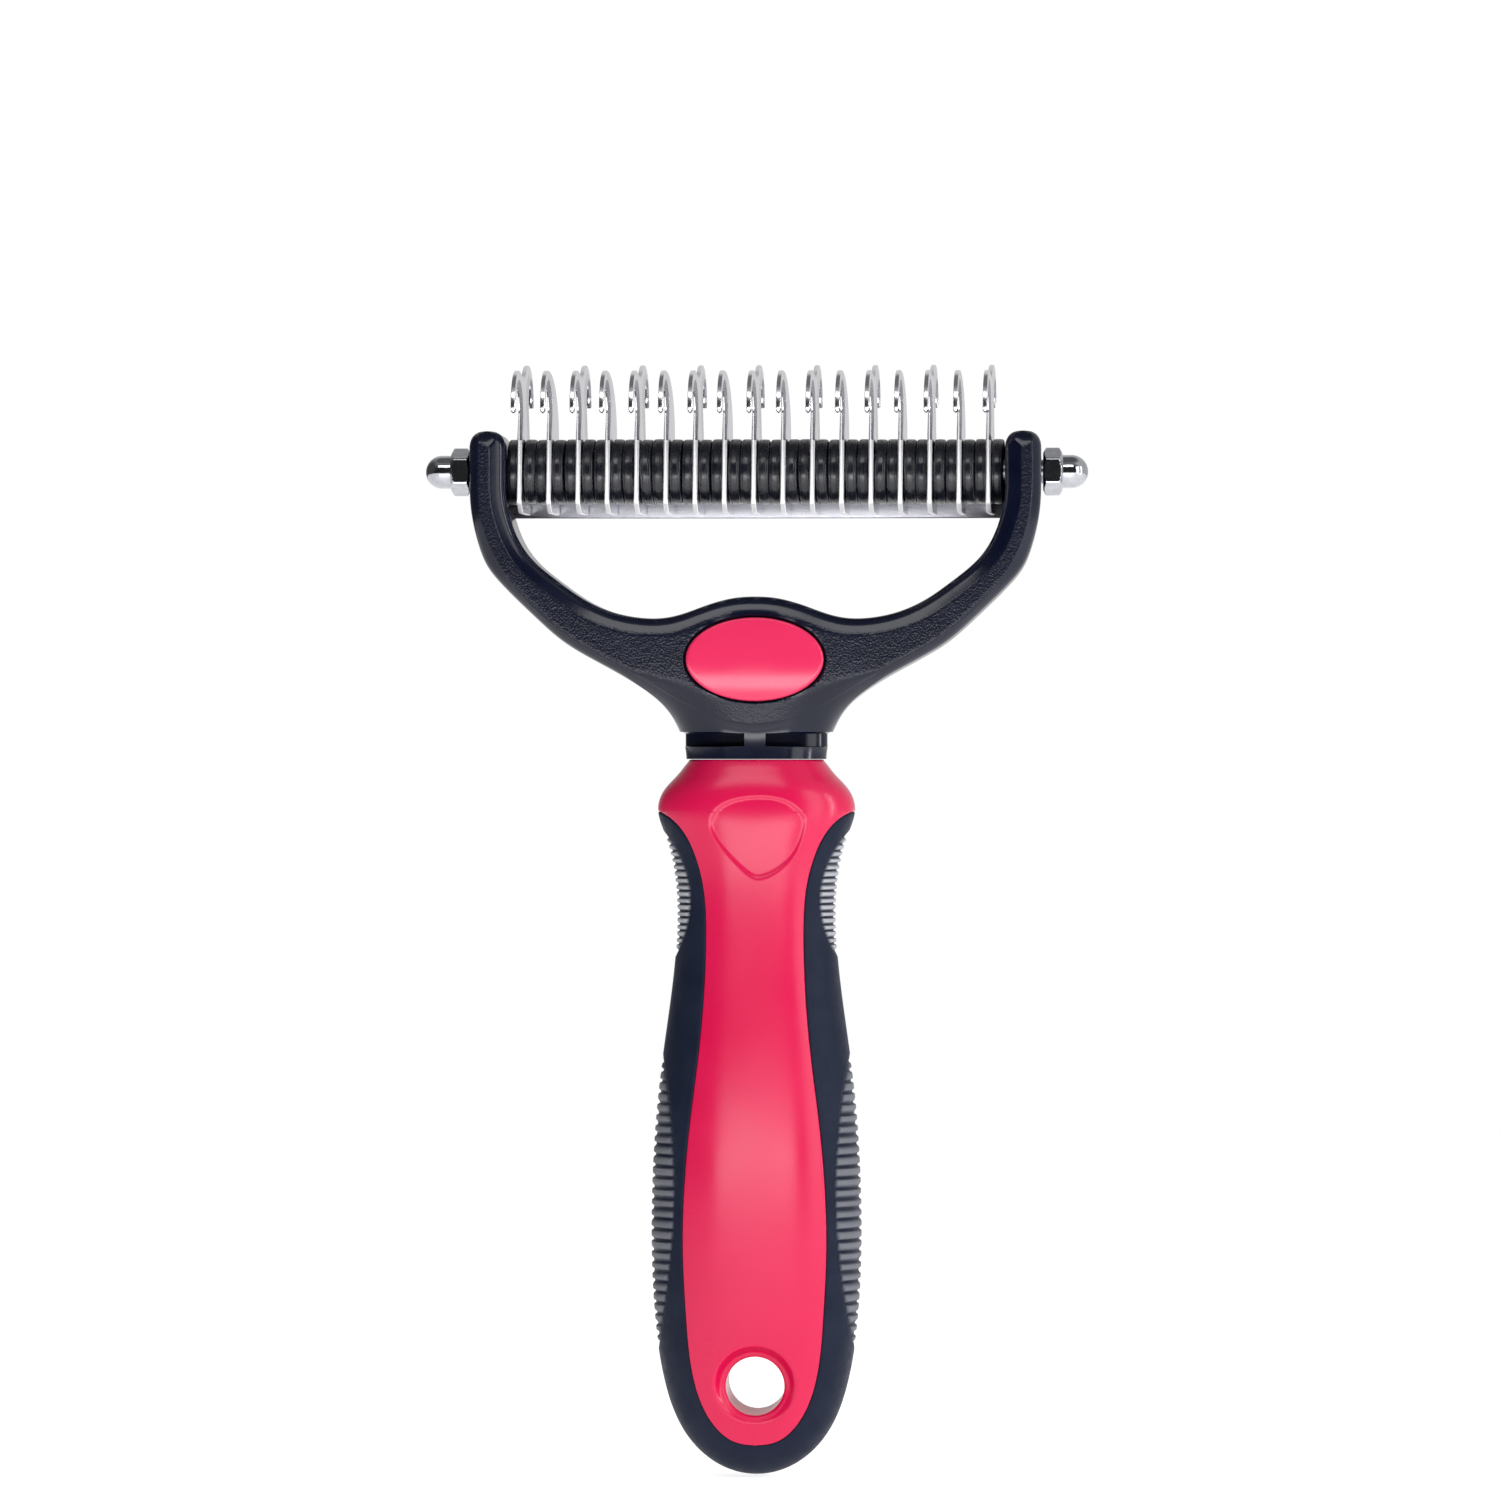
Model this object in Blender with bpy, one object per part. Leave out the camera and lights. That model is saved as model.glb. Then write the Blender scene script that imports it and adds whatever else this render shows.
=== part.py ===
"""Undercoat rake: a moulded yoke on a two-colour handle carries an axle with hooked blades and rubber washers.

Metres, +Z up. The blades point up, the front faces -Y and the axle runs along X. Heights below are measured
from the lower end of the handle, and everything hangs on one empty that puts the world origin in the middle
of the grip, where a hand holds the tool.
"""

from math import cos, pi, radians, sin

import bpy
import bmesh

MM = 0.001
GRIP_HEIGHT = 60 * MM
SEAM = 0.15 * MM
CLEARANCE = 0.3 * MM
CUT_REACH = 20 * MM

# Axle and what is clamped on it
AXLE_HEIGHT = 166.8 * MM
AXLE_RADIUS = 2.0 * MM
BORE_RADIUS = AXLE_RADIUS + CLEARANCE
BLADE_COUNT = 17
BLADE_PITCH = 4.86 * MM
BLADE_THICKNESS = 0.8 * MM
BLADE_SKEW = radians(3)
STACK_GAP = 0.1 * MM
WASHER_THICKNESS = (BLADE_PITCH - BLADE_THICKNESS - 3 * STACK_GAP) / 2
WASHER_RADIUS = 5.4 * MM
WASHER_SEGMENTS = 16
END_WASHER_THICKNESS = WASHER_THICKNESS - WASHER_RADIUS * sin(BLADE_SKEW)
END_BLADE = (BLADE_COUNT - 1) / 2 * BLADE_PITCH
ARM_INNER = END_BLADE + BLADE_THICKNESS / 2 + WASHER_THICKNESS + 2 * STACK_GAP
ARM_OUTER = ARM_INNER + 6.0 * MM

# Blade profile, with every place given as forward of the axle and up from it
HUB_REACH = 6.4 * MM
HUB_TOP = 4.6 * MM
HEEL = ((-6.4 * MM, -3.0 * MM), (-7.5 * MM, -4.5 * MM), (-7.5 * MM, -7.0 * MM), (3.8 * MM, -7.0 * MM),
        (6.4 * MM, -5.4 * MM))
FRONT_HOOK = (8.6 * MM, 10.2 * MM)
FRONT_REACH = 6.3 * MM
FRONT_EYE = (9.7 * MM, 9.6 * MM)
FRONT_EYE_RADIUS = 3.7 * MM
SPINE_REACH = 14.8 * MM
SPINE_RISE = 10.7 * MM
SPINE_ANGLES = (102, 176)
REAR_HOOK = (-4.6 * MM, 11.8 * MM)
REAR_REACH = 7.0 * MM
REAR_RISE = 6.2 * MM
REAR_EYE = (-7.95 * MM, 11.6 * MM)
REAR_EYE_HALF_WIDTH = 2.75 * MM
REAR_EYE_RISE = 3.4 * MM
SADDLE = ((4.6 * MM, 15.7 * MM), (1.6 * MM, 15.3 * MM), (-1.2 * MM, 16.6 * MM))
TIP_ANGLE = 4
HOOK_STEPS = 6

# Rail behind the heels
RAIL_THICKNESS = 1.0 * MM
RAIL_BOTTOM = AXLE_HEIGHT - 7.5 * MM
RAIL_TOP = AXLE_HEIGHT - 1.5 * MM
RAIL_NEAR = 7.5 * MM + CLEARANCE
RAIL_SOCKET = 2.0 * MM

# Cap nuts
NUT_FLATS = 7.0 * MM
HEX_LENGTH = 3.2 * MM
HEX_CHAMFERS = ((0.0, 0.92), (0.4 * MM, 1.0), (HEX_LENGTH - 0.5 * MM, 1.0), (HEX_LENGTH, 0.88))
NUT_LENGTH = 7.5 * MM
DOME_RADIUS = 2.75 * MM
NUT_BORE_DEPTH = 5.2 * MM
AXLE_END = ARM_OUTER + NUT_BORE_DEPTH

# Yoke
YOKE_HALF_DEPTH = 10.0 * MM
YOKE_BEVEL = 1.6 * MM
ARM_TOP = 173.3 * MM
ARM_STRAIGHT = 161.5 * MM
BADGE_HEIGHT = 135.5 * MM
BADGE_HALF_WIDTH = 11.4 * MM
BADGE_HALF_HEIGHT = 6.95 * MM
RECESS_DEPTH = 1.6 * MM
BADGE_RIM = 0.7 * MM
NECK_BOTTOM = 119.0 * MM
NECK_HALF_WIDTH = 11.9 * MM
NECK_HALF_DEPTH = 8.65 * MM
GROOVE_BOTTOM = 121.1 * MM
GROOVE_TOP = 123.2 * MM
GROOVE_DEPTH = 2.2 * MM
WEB_HALF_WIDTH = 1.75 * MM
TANG_HALF_WIDTH = 6.0 * MM
TANG_HALF_DEPTH = 4.0 * MM
TANG_BOTTOM = 88.0 * MM

# Handle: height, half width and half depth of its sections, in millimetres
HANDLE_SECTIONS = (
    (118.6, 11.4, 9.0), (116.4, 13.1, 9.9), (113.5, 15.6, 10.8), (110.6, 16.4, 11.1),
    (107.2, 15.5, 11.0), (101.4, 13.9, 10.6), (93.5, 13.2, 10.5), (82.3, 13.9, 11.0),
    (65.0, 16.2, 12.3), (45.0, 17.5, 13.0), (27.0, 17.0, 12.2), (16.5, 15.5, 10.6),
    (7.3, 12.1, 7.8), (2.5, 7.6, 4.8), (0.0, 1.6, 1.0),
)
SECTION_POWER = 2.4
SECTION_SEGMENTS = 28
STEPS_PER_SECTION = 2
GRIP_WALL = 2.0 * MM
CORE_TOP = 114.0 * MM

# Outline of the hard pink part, right half: half width and height, in millimetres
PANEL_OUTLINE = (
    (20.0, 122.0), (20.0, 110.3), (15.9, 110.1), (13.4, 108.5), (11.2, 105.6), (9.7, 102.0),
    (8.7, 98.0), (8.2, 91.0), (8.4, 82.0), (9.4, 70.0), (11.0, 57.0), (11.8, 47.0),
    (12.0, 38.0), (11.5, 27.0), (10.6, 18.0), (9.0, 12.2), (6.8, 8.4), (3.6, 5.8),
)
PANEL_FOOT = 5.2 * MM

HOLE_HEIGHT = 15.2 * MM
HOLE_RADIUS = 4.85 * MM
DISH_RADIUS = 6.5 * MM
DISH_FLOOR = 8.2 * MM

# Yoke outlines, right half: half width and height, in millimetres, from the crown out to the arm and back
YOKE_INNER = (
    (4.5, 145.5), (9.0, 144.1), (13.3, 142.7), (17.5, 142.3), (23.1, 143.2), (28.2, 145.4),
    (32.4, 148.3), (37.0, 152.2), (39.9, 157.0),
)
YOKE_OUTER = (
    (47.2, 160.5), (46.4, 156.5), (45.1, 152.3), (42.4, 148.3), (38.6, 144.5), (30.2, 137.3),
    (21.8, 132.7), (15.4, 128.0), (12.9, 124.0), (11.9, 120.8), (11.6, 119.0),
)
CROWN_HEIGHT = 145.9 * MM
ARM_TIP_STEPS = 6
# Height, half width and half depth of the oval trunk that rounds the neck and opens out above it
NECK_SECTIONS = (
    (118.0, 11.6, 8.6), (121.0, 11.9, 8.65), (124.2, 13.0, 8.9), (128.2, 17.0, 9.8), (134.0, 33.0, 12.5),
    (142.0, 70.0, 20.0), (180.0, 90.0, 30.0),
)

COLOURS = {
    "pink": ((0.80, 0.045, 0.13, 1), 0.35, 0.0),
    "black": ((0.012, 0.014, 0.022, 1), 0.45, 0.0),
    "rubber": ((0.014, 0.014, 0.018, 1), 0.6, 0.0),
    "steel": ((0.62, 0.63, 0.66, 1), 0.25, 1.0),
    "chrome": ((0.75, 0.75, 0.78, 1), 0.08, 1.0),
}


def clear_scene():
    for item in list(bpy.data.objects):
        bpy.data.objects.remove(item)


def material(name, colour):
    shade = bpy.data.materials.new(name)
    shade.use_nodes = True
    shader = shade.node_tree.nodes["Principled BSDF"]
    base, roughness, metallic = COLOURS[colour]
    shader.inputs["Base Color"].default_value = base
    shader.inputs["Roughness"].default_value = roughness
    shader.inputs["Metallic"].default_value = metallic
    return shade


def loft(name, rings, joined=False):
    """A closed mesh through rings of equally many points, capped at both ends or joined into a loop."""
    body = bmesh.new()
    rows = [[body.verts.new(point) for point in ring] for ring in rings]
    pairs = list(zip(rows, rows[1:]))
    if joined:
        pairs.append((rows[-1], rows[0]))
    else:
        body.faces.new(rows[0])
        body.faces.new(rows[-1])
    for lower, upper in pairs:
        for i in range(len(lower)):
            j = (i + 1) % len(lower)
            body.faces.new((lower[i], lower[j], upper[j], upper[i]))
    bmesh.ops.recalc_face_normals(body, faces=body.faces)
    mesh = bpy.data.meshes.new(name)
    body.to_mesh(mesh)
    body.free()
    return mesh


def place(name, mesh, parent, at=(0, 0, 0), colour=None):
    """An object on the parent empty. Without a colour it is a cutter or a helper, and isn't part of the rake."""
    item = bpy.data.objects.new(name, mesh)
    bpy.context.scene.collection.objects.link(item)
    item.parent = parent
    item.location = at
    if colour:
        item.data.materials.clear()
        item.data.materials.append(material(name, colour))
    else:
        item.hide_render = True
        item.display_type = "WIRE"
    return item


def smooth(item, angle=35):
    item.data.shade_smooth()
    item.data.set_sharp_from_angle(angle=radians(angle))


def combine(item, operation, other):
    change = item.modifiers.new(f"{operation.lower()}_{other.name}", "BOOLEAN")
    change.operation = operation
    change.solver = "EXACT"
    change.object = other


def tube_along_x(name, start, end, radius, segments):
    angles = [2 * pi * i / segments for i in range(segments)]
    return loft(name, [[(x, radius * cos(a), radius * sin(a)) for a in angles] for x in (start, end)])


def tube_along_y(name, start, end, radius, segments):
    angles = [2 * pi * i / segments for i in range(segments)]
    return loft(name, [[(radius * cos(a), y, radius * sin(a)) for a in angles] for y in (start, end)])


def block(name, low, high):
    rings = [[(low[0], low[1], z), (high[0], low[1], z), (high[0], high[1], z), (low[0], high[1], z)]
             for z in (low[2], high[2])]
    return loft(name, rings)


def slab(name, outline, low, high):
    """An outline of (x, z) points, extruded along Y."""
    return loft(name, [[(x, y, z) for x, z in outline] for y in (low, high)])


def oval(half_width, half_height, segments=32):
    return [(half_width * cos(2 * pi * i / segments), half_height * sin(2 * pi * i / segments))
            for i in range(segments)]


def mirrored(half):
    """The right half of an outline, from its top to its foot, made whole."""
    return list(half) + [(-x, z) for x, z in reversed(half) if x > 0]


# Handle


def between(a, b, c, d, t):
    """The point at t from b to c, on a smooth curve that also heeds a and d."""
    return 0.5 * (2 * b + (c - a) * t + (2 * a - 5 * b + 4 * c - d) * t * t + (3 * b - a - 3 * c + d) * t ** 3)


def handle_sections():
    """Height, half width and half depth along the handle, smoothed between the given sections."""
    last = len(HANDLE_SECTIONS) - 1
    for i in range(last):
        near = [HANDLE_SECTIONS[min(max(i + k, 0), last)] for k in (-1, 0, 1, 2)]
        for step in range(STEPS_PER_SECTION):
            yield [between(*values, step / STEPS_PER_SECTION) * MM for values in zip(*near)]
    yield [value * MM for value in HANDLE_SECTIONS[last]]


def section_ring(height, half_width, half_depth):
    ring = []
    for i in range(SECTION_SEGMENTS):
        angle = 2 * pi * (i + 0.5) / SECTION_SEGMENTS
        across, along = cos(angle), sin(angle)
        x = half_width * abs(across) ** (2 / SECTION_POWER) * (1 if across > 0 else -1)
        y = half_depth * abs(along) ** (2 / SECTION_POWER) * (1 if along > 0 else -1)
        ring.append((x, y, height))
    return ring


def handle_body(name, wall):
    """The handle below its shoulder, drawn in by a wall thickness all round and at its lower end."""
    rings = []
    for height, half_width, half_depth in handle_sections():
        if height < CORE_TOP and half_depth > wall + 2 * MM:
            rings.append(section_ring(height + wall, half_width - wall, half_depth - wall))
    return loft(name, rings)


def panel_outline(grow):
    half = [(x * MM + grow, z * MM) for x, z in PANEL_OUTLINE]
    return mirrored(half + [(0, PANEL_FOOT - grow)])


def outer_handle(name):
    rings = [section_ring(*section) for section in handle_sections()]
    return loft(name, rings)


def add_handle(parent):
    """The hard core fills the panels front and back, and runs on under the soft grip."""
    inner = place("core_under_grip", handle_body("core_under_grip", GRIP_WALL + CLEARANCE), parent)
    panel = place("panel_shape", slab("panel_shape", panel_outline(-SEAM), -CUT_REACH, CUT_REACH), parent)
    core = place("handle_core", outer_handle("handle_core"), parent, colour="pink")
    combine(core, "INTERSECT", panel)
    combine(core, "UNION", inner)
    combine(core, "DIFFERENCE", place("hole", hole_cutter("hole"), parent, at=(0, 0, HOLE_HEIGHT)))
    for side, name in ((-1, "dish_front"), (1, "dish_back")):
        dish = tube_along_y(name, side * DISH_FLOOR, side * CUT_REACH, DISH_RADIUS, 32)
        combine(core, "DIFFERENCE", place(name, dish, parent, at=(0, 0, HOLE_HEIGHT)))
    low = (-TANG_HALF_WIDTH - CLEARANCE, -TANG_HALF_DEPTH - CLEARANCE, TANG_BOTTOM - CLEARANCE)
    high = (TANG_HALF_WIDTH + CLEARANCE, TANG_HALF_DEPTH + CLEARANCE, NECK_BOTTOM + CUT_REACH)
    combine(core, "DIFFERENCE", place("tang_pocket", block("tang_pocket", low, high), parent))
    return core


def hole_cutter(name):
    return tube_along_y(name, -CUT_REACH, CUT_REACH, HOLE_RADIUS, 32)


def add_grip(parent):
    """The soft overmould: the outer shape below the shoulder, less the core and its panels."""
    grip = place("grip", outer_handle("grip"), parent, colour="black")
    window = place("grip_window", slab("grip_window", panel_outline(SEAM), -CUT_REACH, CUT_REACH), parent)
    hollow = place("grip_hollow", handle_body("grip_hollow", GRIP_WALL), parent)
    combine(grip, "DIFFERENCE", window)
    combine(grip, "DIFFERENCE", hollow)
    return grip


# Yoke


def arm_tip():
    """The rounded top of an arm, from its inner to its outer side."""
    middle = (ARM_INNER + ARM_OUTER) / 2
    radius = (ARM_OUTER - ARM_INNER) / 2
    angles = [pi - pi * i / ARM_TIP_STEPS for i in range(ARM_TIP_STEPS + 1)]
    return [(middle + radius * cos(a), ARM_TOP - radius + radius * sin(a)) for a in angles]


def yoke_outline():
    inner = [(0, CROWN_HEIGHT)] + [(x * MM, z * MM) for x, z in YOKE_INNER]
    outer = [(x * MM, z * MM) for x, z in YOKE_OUTER]
    return mirrored(inner + [(ARM_INNER, ARM_STRAIGHT)] + arm_tip() + outer)


def neck_limit(name):
    """An oval trunk that opens upwards, which rounds the neck of the yoke and leaves its arms alone."""
    return loft(name, [section_ring(*(value * MM for value in section)) for section in NECK_SECTIONS])


def groove_ring(name):
    """Everything outside the oval core of the neck, between the groove's two sides."""
    inner = [(x, y) for x, y, z in section_ring(0, NECK_HALF_WIDTH - GROOVE_DEPTH, NECK_HALF_DEPTH - GROOVE_DEPTH)]
    outer = [(2 * x, 2 * y) for x, y in inner]
    rings = []
    for (x, y), (far_x, far_y) in zip(inner, outer):
        rings.append([(x, y, GROOVE_BOTTOM), (far_x, far_y, GROOVE_BOTTOM),
                      (far_x, far_y, GROOVE_TOP), (x, y, GROOVE_TOP)])
    return loft(name, rings, joined=True)


def add_yoke(parent, bore):
    yoke = place("yoke", slab("yoke", yoke_outline(), -YOKE_HALF_DEPTH, YOKE_HALF_DEPTH), parent, colour="black")
    edges = yoke.modifiers.new("rounded_rims", "BEVEL")
    edges.width = YOKE_BEVEL
    edges.segments = 2
    edges.limit_method = "ANGLE"
    edges.angle_limit = radians(60)
    combine(yoke, "INTERSECT", place("neck_limit", neck_limit("neck_limit"), parent))

    groove = place("neck_groove", groove_ring("neck_groove"), parent)
    low = (-WEB_HALF_WIDTH, -CUT_REACH, GROOVE_BOTTOM - MM)
    high = (WEB_HALF_WIDTH, CUT_REACH, GROOVE_TOP + MM)
    web = block("groove_web", low, high)
    combine(groove, "DIFFERENCE", place("groove_web", web, parent))
    combine(yoke, "DIFFERENCE", groove)

    low = (-TANG_HALF_WIDTH, -TANG_HALF_DEPTH, TANG_BOTTOM)
    high = (TANG_HALF_WIDTH, TANG_HALF_DEPTH, NECK_BOTTOM + 3 * MM)
    combine(yoke, "UNION", place("tang", block("tang", low, high), parent))
    combine(yoke, "DIFFERENCE", bore)
    combine(yoke, "DIFFERENCE", place("rail_socket", rail_block("rail_socket", CLEARANCE), parent))
    for side, name in ((-1, "recess_front"), (1, "recess_back")):
        shape = oval(BADGE_HALF_WIDTH + CLEARANCE, BADGE_HALF_HEIGHT + CLEARANCE)
        recess = slab(name, shape, side * (YOKE_HALF_DEPTH - RECESS_DEPTH), side * CUT_REACH)
        combine(yoke, "DIFFERENCE", place(name, recess, parent, at=(0, 0, BADGE_HEIGHT)))
    return yoke


def add_badges(parent):
    """An oval inlay with a rounded rim in each recess."""
    floor = YOKE_HALF_DEPTH - RECESS_DEPTH + CLEARANCE
    layers = ((floor, 0.0), (YOKE_HALF_DEPTH - BADGE_RIM / 2, 0.0), (YOKE_HALF_DEPTH + SEAM, BADGE_RIM))
    for side, name in ((-1, "badge_front"), (1, "badge_back")):
        rings = [[(x, side * y, z) for x, z in oval(BADGE_HALF_WIDTH - inset, BADGE_HALF_HEIGHT - inset)]
                 for y, inset in layers]
        smooth(place(name, loft(name, rings), parent, at=(0, 0, BADGE_HEIGHT), colour="pink"))


# Axle, blades, washers, rail and nuts


def arc(centre, half_width, half_height, start, end):
    """Points on an upright oval, from one angle to another, with 0 to the front and 90 up."""
    angles = [radians(start + (end - start) * i / HOOK_STEPS) for i in range(HOOK_STEPS + 1)]
    return [(centre[0] + half_width * cos(a), centre[1] + half_height * sin(a)) for a in angles]


def front_hook():
    """From the stem round the inside of the front hook to its tip, and back to its highest point."""
    inside = arc(FRONT_EYE, FRONT_EYE_RADIUS, FRONT_EYE_RADIUS, 180, 0)
    return inside + arc(FRONT_HOOK, FRONT_REACH, FRONT_REACH, -TIP_ANGLE, 90)


def spine():
    """The long curved back of a blade with one hook, down to its hub."""
    return arc((FRONT_HOOK[0], FRONT_HOOK[1] + FRONT_REACH - SPINE_RISE), SPINE_REACH, SPINE_RISE, *SPINE_ANGLES)


def rear_hook():
    """The saddle between the two hooks, then out along the rear hook to its tip, and back inside it."""
    outside = arc(REAR_HOOK, REAR_REACH, REAR_RISE, 90, 180 + TIP_ANGLE)
    inside = arc(REAR_EYE, REAR_EYE_HALF_WIDTH, REAR_EYE_RISE, 180, 0)
    return list(SADDLE) + outside + inside


def blade_outline(double):
    top = front_hook() + (rear_hook() if double else spine())
    return top + [(-HUB_REACH, HUB_TOP)] + list(HEEL) + [(HUB_REACH, HUB_TOP)]


def add_blades(parent, bore):
    """Blades with a hook each way at both ends and at every other place, all leaning alike to one side."""
    for number in range(BLADE_COUNT):
        name = f"blade_{number + 1:02d}"
        outline = blade_outline(double=number % 2 == 0)
        sides = (-BLADE_THICKNESS / 2, BLADE_THICKNESS / 2)
        mesh = loft(name, [[(x, -forward, up) for forward, up in outline] for x in sides])
        at = (number * BLADE_PITCH - END_BLADE, 0, AXLE_HEIGHT)
        blade = place(name, mesh, parent, at=at, colour="steel")
        blade.rotation_euler.z = -BLADE_SKEW
        combine(blade, "DIFFERENCE", bore)


def washer_mesh(name, thickness):
    """A flat ring about X."""
    half = thickness / 2
    profile = ((-half, BORE_RADIUS), (half, BORE_RADIUS), (half, WASHER_RADIUS), (-half, WASHER_RADIUS))
    angles = [2 * pi * i / WASHER_SEGMENTS for i in range(WASHER_SEGMENTS)]
    return loft(name, [[(x, r * cos(a), r * sin(a)) for x, r in profile] for a in angles], joined=True)


def add_washers(parent):
    """Two washers fill each gap between blades, and a thinner one fills the gap at each straight arm."""
    beside = BLADE_THICKNESS / 2 + STACK_GAP
    end = END_BLADE + beside + END_WASHER_THICKNESS / 2
    stack = [(-end, END_WASHER_THICKNESS)]
    for gap in range(BLADE_COUNT - 1):
        left = gap * BLADE_PITCH - END_BLADE + beside + WASHER_THICKNESS / 2
        stack += [(left, WASHER_THICKNESS), (left + WASHER_THICKNESS + STACK_GAP, WASHER_THICKNESS)]
    stack.append((end, END_WASHER_THICKNESS))
    for number, (x, thickness) in enumerate(stack):
        name = f"washer_{number + 1:02d}"
        washer = place(name, washer_mesh(name, thickness), parent, at=(x, 0, AXLE_HEIGHT), colour="rubber")
        washer.rotation_euler.z = -BLADE_SKEW
        smooth(washer)


def rail_block(name, grow):
    half = ARM_INNER + RAIL_SOCKET + grow
    low = (-half, RAIL_NEAR - grow, RAIL_BOTTOM - grow)
    high = (half, RAIL_NEAR + RAIL_THICKNESS + grow, RAIL_TOP + grow)
    return block(name, low, high)


def add_nut(name, side, parent):
    """A hexagon with a drilled dome, its origin on the axle at the face that bears on the arm."""
    flat_corner = NUT_FLATS / 2 / cos(pi / 6)
    corners = [(flat_corner * sin(i * pi / 3), flat_corner * cos(i * pi / 3)) for i in range(6)]
    hexagon = loft(name, [[(side * x, k * y, k * z) for y, z in corners] for x, k in HEX_CHAMFERS])
    nut = place(name, hexagon, parent, at=(side * (ARM_OUTER + CLEARANCE), 0, AXLE_HEIGHT), colour="chrome")

    shoulder = NUT_LENGTH - DOME_RADIUS
    steps = [i * pi / 10 for i in range(5)] + [0.47 * pi]
    stations = [(HEX_LENGTH - 1.5 * MM, DOME_RADIUS)]
    stations += [(shoulder + DOME_RADIUS * sin(a) / sin(steps[-1]), DOME_RADIUS * cos(a)) for a in steps]
    angles = [2 * pi * i / 20 for i in range(20)]
    rings = [[(side * x, r * cos(a), r * sin(a)) for a in angles] for x, r in stations]
    dome = place(f"{name}_dome", loft(f"{name}_dome", rings), parent, at=nut.location)
    drill = tube_along_x(f"{name}_drill", side * -2 * MM, side * NUT_BORE_DEPTH, BORE_RADIUS, 20)
    combine(nut, "UNION", dome)
    combine(nut, "DIFFERENCE", place(f"{name}_drill", drill, parent, at=nut.location))


def main():
    clear_scene()
    handle_end = bpy.data.objects.new("handle_end", None)
    bpy.context.scene.collection.objects.link(handle_end)
    handle_end.location = (0, 0, -GRIP_HEIGHT)

    drill = tube_along_x("axle_bore", -AXLE_END - CUT_REACH, AXLE_END + CUT_REACH, BORE_RADIUS, 20)
    bore = place("axle_bore", drill, handle_end, at=(0, 0, AXLE_HEIGHT))
    axle = tube_along_x("axle", -AXLE_END, AXLE_END, AXLE_RADIUS, 20)
    add_handle(handle_end)
    add_grip(handle_end)
    add_yoke(handle_end, bore)
    add_badges(handle_end)
    smooth(place("axle", axle, handle_end, at=(0, 0, AXLE_HEIGHT), colour="steel"))
    add_blades(handle_end, bore)
    add_washers(handle_end)
    place("blade_rail", rail_block("blade_rail", 0), handle_end, colour="steel")
    add_nut("dome_nut_left", -1, handle_end)
    add_nut("dome_nut_right", 1, handle_end)


main()
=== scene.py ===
"""Looks of the undercoat rake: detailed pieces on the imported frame, their materials, a studio and a camera.

Metres, +Z up. The front faces -Y and the axle runs along X. Lists of heights are in millimetres above the
handle's lower end, as on a drawing; every other place comes from the frame's nodes.
"""

from math import atan, cos, pi, radians, sin, tan

import bmesh
import bpy
import numpy as np
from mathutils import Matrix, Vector


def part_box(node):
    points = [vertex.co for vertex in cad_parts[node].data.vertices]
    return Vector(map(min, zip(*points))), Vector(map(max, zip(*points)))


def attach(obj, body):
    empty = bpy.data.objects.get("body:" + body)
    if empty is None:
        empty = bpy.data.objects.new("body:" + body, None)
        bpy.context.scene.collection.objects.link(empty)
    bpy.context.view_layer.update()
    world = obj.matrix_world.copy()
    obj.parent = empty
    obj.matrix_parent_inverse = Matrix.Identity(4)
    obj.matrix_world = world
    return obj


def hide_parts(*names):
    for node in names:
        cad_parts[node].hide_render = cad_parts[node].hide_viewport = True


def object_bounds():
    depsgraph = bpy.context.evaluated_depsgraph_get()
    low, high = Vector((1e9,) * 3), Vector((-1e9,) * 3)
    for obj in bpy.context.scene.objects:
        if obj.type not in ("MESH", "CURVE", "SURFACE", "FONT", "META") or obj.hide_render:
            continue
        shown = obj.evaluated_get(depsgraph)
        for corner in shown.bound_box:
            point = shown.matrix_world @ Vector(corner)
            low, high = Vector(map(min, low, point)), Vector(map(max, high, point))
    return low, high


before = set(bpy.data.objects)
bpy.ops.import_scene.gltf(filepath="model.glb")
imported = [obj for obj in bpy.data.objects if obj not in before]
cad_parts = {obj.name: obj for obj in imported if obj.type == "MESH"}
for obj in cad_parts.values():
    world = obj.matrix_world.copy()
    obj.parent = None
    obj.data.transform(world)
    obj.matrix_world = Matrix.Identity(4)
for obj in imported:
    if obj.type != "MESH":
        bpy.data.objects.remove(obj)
CAD_LOW, CAD_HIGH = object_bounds()

MM = 0.001
WELD = 0.2e-6
SHARP = 40
RAKE = "rake"


def middle(node):
    low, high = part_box(node)
    return (low + high) / 2


# Driving places, from the frame
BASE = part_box("grip")[0].z
AXLE = middle("axle")
AXLE_RADIUS = (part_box("axle")[1].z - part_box("axle")[0].z) / 2
AXLE_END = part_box("axle")[1].x
BLADES = sorted(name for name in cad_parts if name.startswith("blade_") and name != "blade_rail")
WASHERS = sorted(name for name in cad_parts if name.startswith("washer_"))
PITCH = (middle(BLADES[-1]).x - middle(BLADES[0]).x) / (len(BLADES) - 1)
NUT_LOW, NUT_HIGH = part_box("dome_nut_right")

# Handle: height, half width and half depth of its sections
HANDLE_SECTIONS = (
    (118.6, 11.4, 9.0), (116.4, 13.1, 9.9), (113.5, 15.6, 10.8), (110.6, 16.4, 11.1),
    (107.2, 15.5, 11.0), (101.4, 13.9, 10.6), (93.5, 13.2, 10.5), (82.3, 13.9, 11.0),
    (65.0, 16.2, 12.3), (45.0, 17.5, 13.0), (27.0, 17.0, 12.2), (16.5, 15.5, 10.6),
    (7.3, 12.1, 7.8), (2.2, 7.2, 4.6), (0.0, 0.0, 0.0),
)
SECTION_POWER = 2.4
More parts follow.
